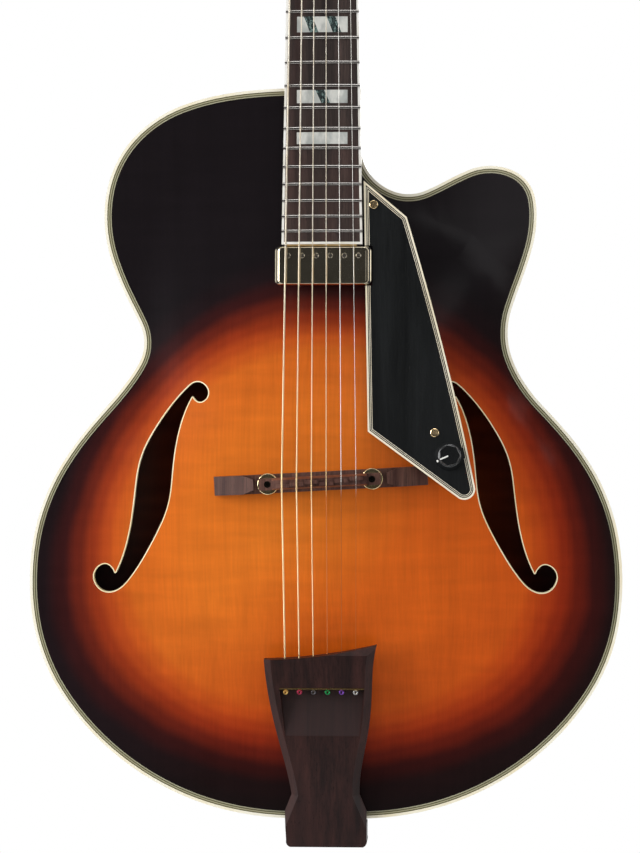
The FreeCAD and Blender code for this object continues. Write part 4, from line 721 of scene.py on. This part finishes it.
def guardOutline():
    upper, heel, tip, radius = guardSpot("upper"), guardSpot("heel"), guardSpot("tip"), guard["tipRadius"]
    right = tip + Vector((radius, 0))
    way = (heel - tip).normalized()
    under = tip + Vector((-way.y, way.x)) * radius
    middle = tip + (right + under - 2 * tip).normalized() * radius
    back, (above, below) = neckTurn.inverted(), guard["cutRange"]
    near = [(back @ vertex.co) / mm for vertex in nodes["pickguard_binding"].data.vertices]
    cuts = [spot.z for spot in near if spot.x < guard["cutRight"] and above < -spot.z < below]

    def leftAt(height):
        return upper.lerp(heel, (upper.y - height) / (upper.y - heel.y))

    rim = arcThrough(guardSpot("corner"), guardSpot("side"), right, guard["steps"])[::-1]
    return ([leftAt(min(cuts)), heel] + arcThrough(under, middle, right, guard["steps"] // 2)[:-1] + rim
            + [upper, leftAt(max(cuts))])


def inset(points, depth):
    moved = [points[0] + Vector((depth, 0))]
    for before, point, after in zip(points, points[1:], points[2:]):
        arriving, leaving = (point - before).normalized(), (after - point).normalized()
        first, second = Vector((-arriving.y, arriving.x)), Vector((-leaving.y, leaving.x))
        moved.append(point + (first + second) * depth / (1 + first.dot(second)))
    return moved + [points[-1] + Vector((depth, 0))]


def makeGuardEdge():
    outline, band = guardOutline(), bmesh.new()
    front, back = guard["front"], guard["back"]
    for layer, (near, far) in enumerate(zip(guard["plies"], guard["plies"][1:])):
        stations = []
        for outer, inner in zip(inset(outline, near), inset(outline, far)):
            corners = [(outer, front), (inner, front), (inner, back), (outer, back)]
            stations.append([band.verts.new(neckTurn @ (Vector((spot.x, level, spot.y)) * mm))
                             for spot, level in corners])
        for face in loft(band, stations):
            face.material_index = layer % 2  # white and black by turns
    mesh = settle(band, "guardEdge", [finishes["guard_edge"], blackPly])
    addPiece("pickguard_edge_plies", mesh, "guitar", ["pickguard_binding"])
    print("pickguard edge ready")


makeGuardEdge()


# strings

layout = {"scale": 635, "bodyFret": 14, "bodyLength": 532, "headAngle": 14, "headStart": (0, 4, 5),
          "saddleReach": 637, "saddleHeight": 4.4, "saddleRound": 305, "saddleSkew": 3, "tailReach": 130.4,
          "tailSlot": 31.1, "ballInset": 3}
strings = {"kinds": {"wound": (0, 1, 2, 3), "plain": (4, 5)}, "thick": (1.27, 1.02, 0.76, 0.56, 0.41, 0.3),
           "side": (-1, -1, -1, 1, 1, 1), "row": (0, 1, 2, 2, 1, 0), "turns": (2.5, 2.5, 2.75, 3, 4, 4),
           "offset": -1.5, "nutSpread": 36, "saddleSpread": 53, "tailSpread": 50.5, "nutHeight": 1.85,
           "nutAlong": 0.5, "ballDepth": -28, "saddleGap": 0.55, "windGap": 0.45, "windTop": 2,
           "windSteps": 24, "postRadius": 3.1, "postSpread": 45, "postSplay": 5, "postStart": 42,
           "postPitch": 40, "bend": 1.2, "bendSteps": 4, "sides": 10}
headTurn = (neckTurn @ Matrix.Translation(Vector(layout["headStart"]) * mm)
            @ Matrix.Rotation(-math.radians(layout["headAngle"]), 4, "X"))
slopeSin, slopeCos = math.sin(neckSlope), math.cos(neckSlope)
saddleY = -layout["saddleReach"] * slopeSin - layout["saddleHeight"] * slopeCos
saddleZ = -layout["saddleReach"] * slopeCos + layout["saddleHeight"] * slopeSin
bridgeTurn = (Matrix.Translation((strings["offset"] * mm, 0, saddleZ * mm))
              @ Matrix.Rotation(-math.radians(layout["saddleSkew"]), 4, "Y"))
neckReach = layout["scale"] * (1 - 2 ** (-layout["bodyFret"] / 12)) * slopeCos
ballZ = -neckReach - layout["bodyLength"] + layout["tailReach"] - layout["tailSlot"] - layout["ballInset"]


def stringStops(index):
    share = index / (len(strings["thick"]) - 1) - 0.5
    thick = strings["thick"][index]
    ball = Vector((strings["offset"] + share * strings["tailSpread"], strings["ballDepth"], ballZ)) * mm
    across = share * strings["saddleSpread"]
    rise = saddleY + across ** 2 / (2 * layout["saddleRound"]) - thick / 2 - strings["saddleGap"]
    saddle = bridgeTurn @ Vector((across * mm, rise * mm, 0))
    nut = neckTurn @ (Vector((strings["offset"] + share * strings["nutSpread"],
                              -strings["nutHeight"] - thick / 2, strings["nutAlong"])) * mm)
    return ball, saddle, nut


def windingPoints(index, nut):  # from the nut to the post and round it
    thick, side, row, turns = (strings[label][index] for label in ("thick", "side", "row", "turns"))
    across = side * (strings["postSpread"] + strings["postSplay"] * row) / 2
    up = strings["postStart"] + strings["postPitch"] * row
    start = (headTurn.inverted() @ nut) / mm
    radius, pitch, steps = strings["postRadius"] + thick / 2, thick + strings["windGap"], strings["windSteps"]
    rise = -strings["windTop"] - thick - turns * pitch
    runX, runZ = across - start.x, up - start.z
    length = math.hypot(runX, runZ)
    slant = math.atan2(runZ, runX) + side * math.asin(radius / length)
    reach = math.sqrt(length ** 2 - radius ** 2)
    first = math.atan2(start.z + reach * math.sin(slant) - up, start.x + reach * math.cos(slant) - across)
    points = []
    for step in range(int(turns * steps) + 1):
        turn = first - side * step / steps * fullTurn
        points.append(headTurn @ (Vector((across + radius * math.cos(turn), rise + step / steps * pitch,
                                          up + radius * math.sin(turn))) * mm))
    return points


def bend(before, corner, after):  # a short rounded corner
    first, last = (corner + (end - corner).normalized() * strings["bend"] * mm for end in (before, after))
    shares = [step / strings["bendSteps"] for step in range(strings["bendSteps"] + 1)]
    return [first.lerp(corner, share).lerp(corner.lerp(last, share), share) for share in shares]


def makeStringTree():
    kit, entry, leave = startGroup(
        "stringTube", "Geometry",
        [("Geometry", "Geometry"), ("Thickness", "Float"), ("Sides", "Int"), ("Finish", "Material")],
        [("Geometry", "Geometry")])
    radius = kit.math("DIVIDE", entry["Thickness"], 2)
    ring = kit.add("GeometryNodeCurvePrimitiveCircle", Resolution=entry["Sides"], Radius=radius)
    tube = kit.add("GeometryNodeCurveToMesh", Curve=entry["Geometry"], Profile_Curve=ring.outputs["Curve"],
                   Fill_Caps=True)
    return endTree(kit, tube.outputs["Mesh"], entry, leave)


stringTree = makeStringTree()


def stringMesh(name, points, thick, material):
    curve = bpy.data.curves.new(name, "CURVE")
    curve.dimensions = "3D"
    line = curve.splines.new("POLY")
    line.points.add(len(points) - 1)
    for spot, point in zip(line.points, points):
        spot.co = (*point, 1)
    return nodeMesh(name, curve, stringTree, Thickness=thick * mm, Sides=strings["sides"], Finish=material)


def joined(name, meshes, material):
    whole = gathered(meshes)
    for face in whole.faces:
        face.smooth = True
    return settle(whole, name, [material])


def makeStrings():
    for label, which in strings["kinds"].items():
        slot = label + "_string"
        necks, tails, saddles, balls = [], [], [], []
        for index in which:
            ball, saddle, nut = stringStops(index)
            thick, winding = strings["thick"][index], windingPoints(index, nut)
            corner = bend(ball, saddle, nut)
            middle = len(corner) // 2
            neckRun = winding[::-1] + bend(winding[0], nut, saddle) + corner[middle:][::-1]
            tailRun = corner[:middle + 1][::-1] + [ball]
            necks.append(stringMesh(f"{label}Neck{index}", neckRun, thick, finishes[slot]))
            tails.append(stringMesh(f"{label}Tail{index}", tailRun, thick, finishes[slot]))
            saddles.append(saddle)
            balls.append(ball)
        neckMesh = joined(label + "Speaking", necks, finishes[slot])
        speaking = addPiece(label + "_strings_speaking", neckMesh, None, [label + "_strings"])
        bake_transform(speaking)
        tailMesh = joined(label + "Behind", tails, finishes[slot])
        behind = addPiece(label + "_strings_behind", tailMesh, None, ())
        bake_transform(behind)
    print("strings ready")


makeStrings()


# ball ends

ballEnds = {"radius": 2.0, "length": 3.4, "hole": 0.7, "round": 0.5, "waist": 0.86, "waistHalf": 0.3,
            "steps": 20, "rough": 0.3, "shade": 0.7,
            "colours": ((224, 184, 112), (226, 84, 118), (104, 102, 108), (60, 176, 108), (140, 92, 196),
                        (214, 214, 214))}


def makeBallEnds():
    radius, length, hole, edge, waistHalf = lengths(
        ballEnds, "radius", "length", "hole", "round", "waistHalf")
    half, waist = length / 2, radius * ballEnds["waist"]
    lower = [(hole, -half + edge), (hole + edge, -half), (radius - edge, -half), (radius, -half + edge),
             (waist, -waistHalf)]
    profile = lower + [(out, -along) for out, along in lower[::-1]]
    beads, paints = [], []
    for index, colour in enumerate(ballEnds["colours"]):
        bead = lathe(profile, ballEnds["steps"], stringStops(index)[0], (0, 1, 0))
        for face in bead.faces:
            face.material_index, face.smooth = index, True
        beads.append(settle(bead, "bead"))
        shade = dimmed(colour, ballEnds["shade"])
        paints.append(metal(f"beadColour{index}", colour, shade, ballEnds["rough"]))
    addPiece("ball_ends", settle(gathered(beads), "ballEnds", paints), "guitar", ())
    print("ball ends ready")


makeBallEnds()


# repeated hardware: screw heads and knurled wheels

def makeScatterTree():
    kit, entry, leave = startGroup(
        "scatterThing", "Geometry", [("Geometry", "Geometry"), ("Thing", "Object"), ("Finish", "Material")],
        [("Geometry", "Geometry")])
    thing = kit.add("GeometryNodeObjectInfo", Object=entry["Thing"]).outputs["Geometry"]
    turn = kit.add("GeometryNodeInputNamedAttribute", Name="turn")
    turn.data_type = "FLOAT_VECTOR"
    spread = kit.add("GeometryNodeInstanceOnPoints", Points=entry["Geometry"], Instance=thing,
                     Rotation=turn.outputs["Attribute"])
    return endTree(kit, spread.outputs["Instances"], entry, leave)


scatterTree = makeScatterTree()


def scattered(name, thing, spots, turns, material):
    points = bpy.data.meshes.new(name + "Spots")
    points.from_pydata(spots, [], [])
    marks = points.attributes.new("turn", "FLOAT_VECTOR", "POINT")
    marks.data.foreach_set("vector", [value for turn in turns for value in turn])
    holder = addObject(name + "Thing", thing)
    mesh = nodeMesh(name, points, scatterTree, Thing=holder, Finish=material)
    bpy.data.objects.remove(holder)
    return mesh


crossHead = {"sides": 32, "arcSteps": 8,
             "dome": ((0.45, 0), (0.68, 0.1), (0.85, 0.28), (0.96, 0.6), (1, 0.85), (1, 1))}
screws = {
    "pole_screws": {"radius": 1.9, "height": 0.6, "slotWidth": 0.7, "slotDepth": 0.5, "shank": 1.4,
                    "spin": (14, 38, 62, 5, 80, 51), "colour": (190, 181, 164)},
    "pickguard_screws": {"radius": 3.1, "height": 1.4, "slotWidth": 0.8, "slotDepth": 0.7, "shank": 1.4,
                         "spin": (24, 67), "colour": (252, 222, 172)}}
screwFinish = {"rough": 0.2, "shade": 0.8}


def crossScrew(name, sizes, length):  # head front at 0, going into +Y
    radius, height, slotWidth, slotDepth, shank = lengths(
        sizes, "radius", "height", "slotWidth", "slotDepth", "shank")
    screw = lathe([(axisGap, slotDepth), (radius, slotDepth), (radius, height), (shank, height),
                   (shank, length), (axisGap, length)], crossHead["sides"], (0, 0, 0), (0, 1, 0))
    half, steps = slotWidth / 2, crossHead["arcSteps"]
    for quarter in range(4):  # the four raised parts between the slots
        turn = Matrix.Rotation(quarter * quarterTurn, 3, "Y")
        rings = []
        for out, down in crossHead["dome"]:
            reach, level = radius * out, slotDepth * down
            limit = math.asin(half / reach)
            outline = [Vector((half, level, half))]
            for step in range(steps + 1):
                angle = limit + (quarterTurn - 2 * limit) * step / steps
                outline.append(Vector((reach * math.cos(angle), level, reach * math.sin(angle))))
            rings.append([screw.verts.new(turn @ spot) for spot in outline])
        loft(screw, rings, caps=(0,))
    return settle(screw, name)


def makeScrews():
    for name, values in screws.items():
        boxes = sorted(solidBoxes(name, neckTurn), key=lambda box: box[0].x)
        thing = crossScrew(name, values, min(high.y - low.y for low, high in boxes))
        spots = [((low.x + high.x) / 2, low.y, (low.z + high.z) / 2) for low, high in boxes]
        turns = [(0, math.radians(spin), 0) for spin in values["spin"]]
        shade = dimmed(values["colour"], screwFinish["shade"])
        paint = metal(name + "Metal", values["colour"], shade, screwFinish["rough"])
        mesh = scattered(name, thing, spots, turns, paint)
        mesh.transform(neckTurn)
        addPiece(name + "_crossed", mesh, "guitar", [name])
    print("screws ready")


makeScrews()

wheels = {"bodies": {"bass_thumbwheel": "bass_wheel", "treble_thumbwheel": "treble_wheel"}, "bore": 2.5,
          "teeth": 64, "toothDepth": 0.28, "toothWidth": 0.34, "toothTip": 0.4, "toothSink": 0.02, "rim": 1.5,
          "round": 0.6, "roundSteps": 5, "dish": 0.35, "steps": 96}


def wheelTooth(name, half):
    tooth = bmesh.new()
    width, depth = lengths(wheels, "toothWidth", "toothDepth")
    wide, tip = width / 2, width / 2 * wheels["toothTip"]
    section = [(-wide, 0), (wide, 0), (tip, depth), (-tip, depth)]
    loft(tooth, [[tooth.verts.new((out, level, across)) for across, out in section]
                 for level in (-half, half)])
    return settle(tooth, name)


def makeWheels():
    bore, rim, dish, soft, depth, sink = lengths(
        wheels, "bore", "rim", "dish", "round", "toothDepth", "toothSink")
    bends = [quarterTurn * step / wheels["roundSteps"] for step in range(wheels["roundSteps"] + 1)]
    for name, body in wheels["bodies"].items():
        (low, high), = solidBoxes(name, Matrix.Identity(4))
        middle, half = (low + high) / 2, (high.y - low.y) / 2
        core = (high.x - low.x) / 2 - depth
        front = [(bore, -half + dish), (core - rim - dish, -half + dish), (core - rim, -half)]
        front += [(core - soft * (1 - math.sin(turn)), -half + soft * (1 - math.cos(turn))) for turn in bends]
        profile = front + [(radius, -along) for radius, along in front[::-1]]
        disc = settle(lathe(profile, wheels["steps"], middle, (0, 1, 0)), name + "Disc")
        angles = [fullTurn * step / wheels["teeth"] for step in range(wheels["teeth"])]
        spots = [middle + Vector((math.cos(angle), 0, -math.sin(angle))) * (core - sink) for angle in angles]
        turns = [(0, angle, 0) for angle in angles]
        teeth = scattered(name + "Teeth", wheelTooth(name + "Tooth", half - soft), spots, turns, paleBrass)
        mesh = settle(gathered([disc, teeth]), name, [paleBrass])
        addPiece(name + "_knurled", mesh, body, [name])
    print("thumbwheels ready")


makeWheels()


# pickup cover with round ends

cover = {"endRound": 4.4, "longRound": 1.3, "roundDepth": 5, "corner": 3.8, "wall": 0.8, "cornerSteps": 6,
         "profile": [(1, 0), (0.9, 0.01), (0.72, 0.05), (0.5, 0.17), (0.25, 0.345), (0.04, 0.51),
                     (0.01, 0.56), (0, 1)]}


def roundedRing(halfX, halfZ, corner, steps):
    points = []
    for quarter, (sideX, sideZ) in enumerate(((1, 1), (-1, 1), (-1, -1), (1, -1))):
        for step in range(steps + 1):
            turn = (quarter + step / steps) * quarterTurn
            points.append((sideX * (halfX - corner) + corner * math.cos(turn),
                           sideZ * (halfZ - corner) + corner * math.sin(turn)))
    return points


def makeCover():
    (low, high), = solidBoxes("pickup_cover", neckTurn)
    middle, size = (low + high) / 2, (high - low) / 2
    endRound, longRound, depth, corner, wall = lengths(
        cover, "endRound", "longRound", "roundDepth", "corner", "wall")
    levels = [(endRound * left, longRound * left, low.y + depth * deep) for left, deep in cover["profile"]]
    levels += [(0, 0, high.y), (wall, wall, high.y), (wall, wall, low.y + depth)]
    shell, rings = bmesh.new(), []
    for insetX, insetZ, level in levels:
        outline = roundedRing(size.x - insetX, size.z - insetZ, corner - min(insetX, insetZ),
                              cover["cornerSteps"])
        rings.append([shell.verts.new((middle.x + x, level, middle.z + z)) for x, z in outline])
    for face in loft(shell, rings)[2:-len(rings[-1])]:  # all but the caps and the inner wall
        face.smooth = True
    slot = slotOf["pickup_cover"]
    mesh = settle(shell, "roundCover", [finishes[slot]])
    mesh.transform(neckTurn)
    addPiece("pickup_cover_round", mesh, "guitar", ["pickup_cover"])
    print("pickup cover ready")


makeCover()


# knob with eased edges, and its marks

knob = {"ease": 0.45, "segments": 3, "sharp": 25, "flat": 1, "frontDepth": 11, "capDepth": 9}


def makeKnob():
    work = mergedCopy("volume_knob")
    flat, sharp = math.radians(knob["flat"]), math.radians(knob["sharp"])
    bmesh.ops.dissolve_limit(work, angle_limit=flat, verts=work.verts, edges=work.edges)
    nose = min(vertex.co.y for vertex in work.verts)
    front, cap = (nose + depth for depth in lengths(knob, "frontDepth", "capDepth"))
    edges = [edge for edge in work.edges if len(edge.link_faces) == 2 and edge.calc_face_angle(0) > sharp
             and all(vertex.co.y < front for vertex in edge.verts)]
    eased = bmesh.ops.bevel(work, geom=edges, offset=knob["ease"] * mm, segments=knob["segments"],
                            affect="EDGES", profile=0.5)
    for face in work.faces:
        face.material_index = 1 if min(vertex.co.y for vertex in face.verts) > cap else 0
    # the eased edges take the lighter finish, a painted highlight
    for face in eased["faces"]:
        face.material_index, face.smooth = 2, True
    mesh = settle(work, "easedKnob", [finishes["black_knob"], blackSkirt, knobEdgeHighlight])
    addPiece("volume_knob_eased", mesh, "knob", ["volume_knob"])
    print("knob ready")


makeKnob()

knobMarks = {"angle": 204, "lineStart": 1.0, "lineEnd": 7.2, "lineWidth": 1.0, "lineRise": 0.12,
             "dotReach": 9.3, "dotDepth": 11.25, "dotRadius": 0.95, "dotSteps": 20, "dotLean": 1.08,
             "dotProfile": ((0.6, -0.42), (1, 0)), "dotHeight": 0.5, "colour": (244, 244, 240),
             "stain": (226, 224, 214)}


def makeKnobMarks():
    (low, high), = solidBoxes("volume_knob", neckTurn)
    middle = (low + high) / 2
    turn = Matrix.Rotation(-math.radians(knobMarks["angle"]), 3, "Y")
    start, end, width, rise = lengths(knobMarks, "lineStart", "lineEnd", "lineWidth", "lineRise")
    radius, reach, depth = lengths(knobMarks, "dotRadius", "dotReach", "dotDepth")
    wide, tall = width / 2, radius * knobMarks["dotHeight"]
    profile = [(radius * out, radius * along) for out, along in knobMarks["dotProfile"]]
    seat = turn @ Vector((reach, low.y + depth, 0))
    dot = lathe([(axisGap, -tall), *profile, (axisGap, tall)], knobMarks["dotSteps"], seat,
                turn @ Vector((-1, knobMarks["dotLean"], 0)))
    marks = gathered([settle(dot, "dot")])
    section = [(start, -wide), (end, -wide), (end, wide), (start, wide)]
    loft(marks, [[marks.verts.new(turn @ Vector((along, level, across))) for along, across in section]
                 for level in (low.y - rise, low.y + rise)])
    bmesh.ops.translate(marks, verts=marks.verts, vec=(middle.x, 0, middle.z))
    paint = plainPlastic("knobWhite", knobMarks["colour"], knobMarks["stain"], base=0.4, coat=0.1)
    mesh = settle(marks, "knobMarks", [paint])
    mesh.transform(neckTurn)
    addPiece("knob_marks", mesh, "knob", ())
    print("knob marks ready")


makeKnobMarks()
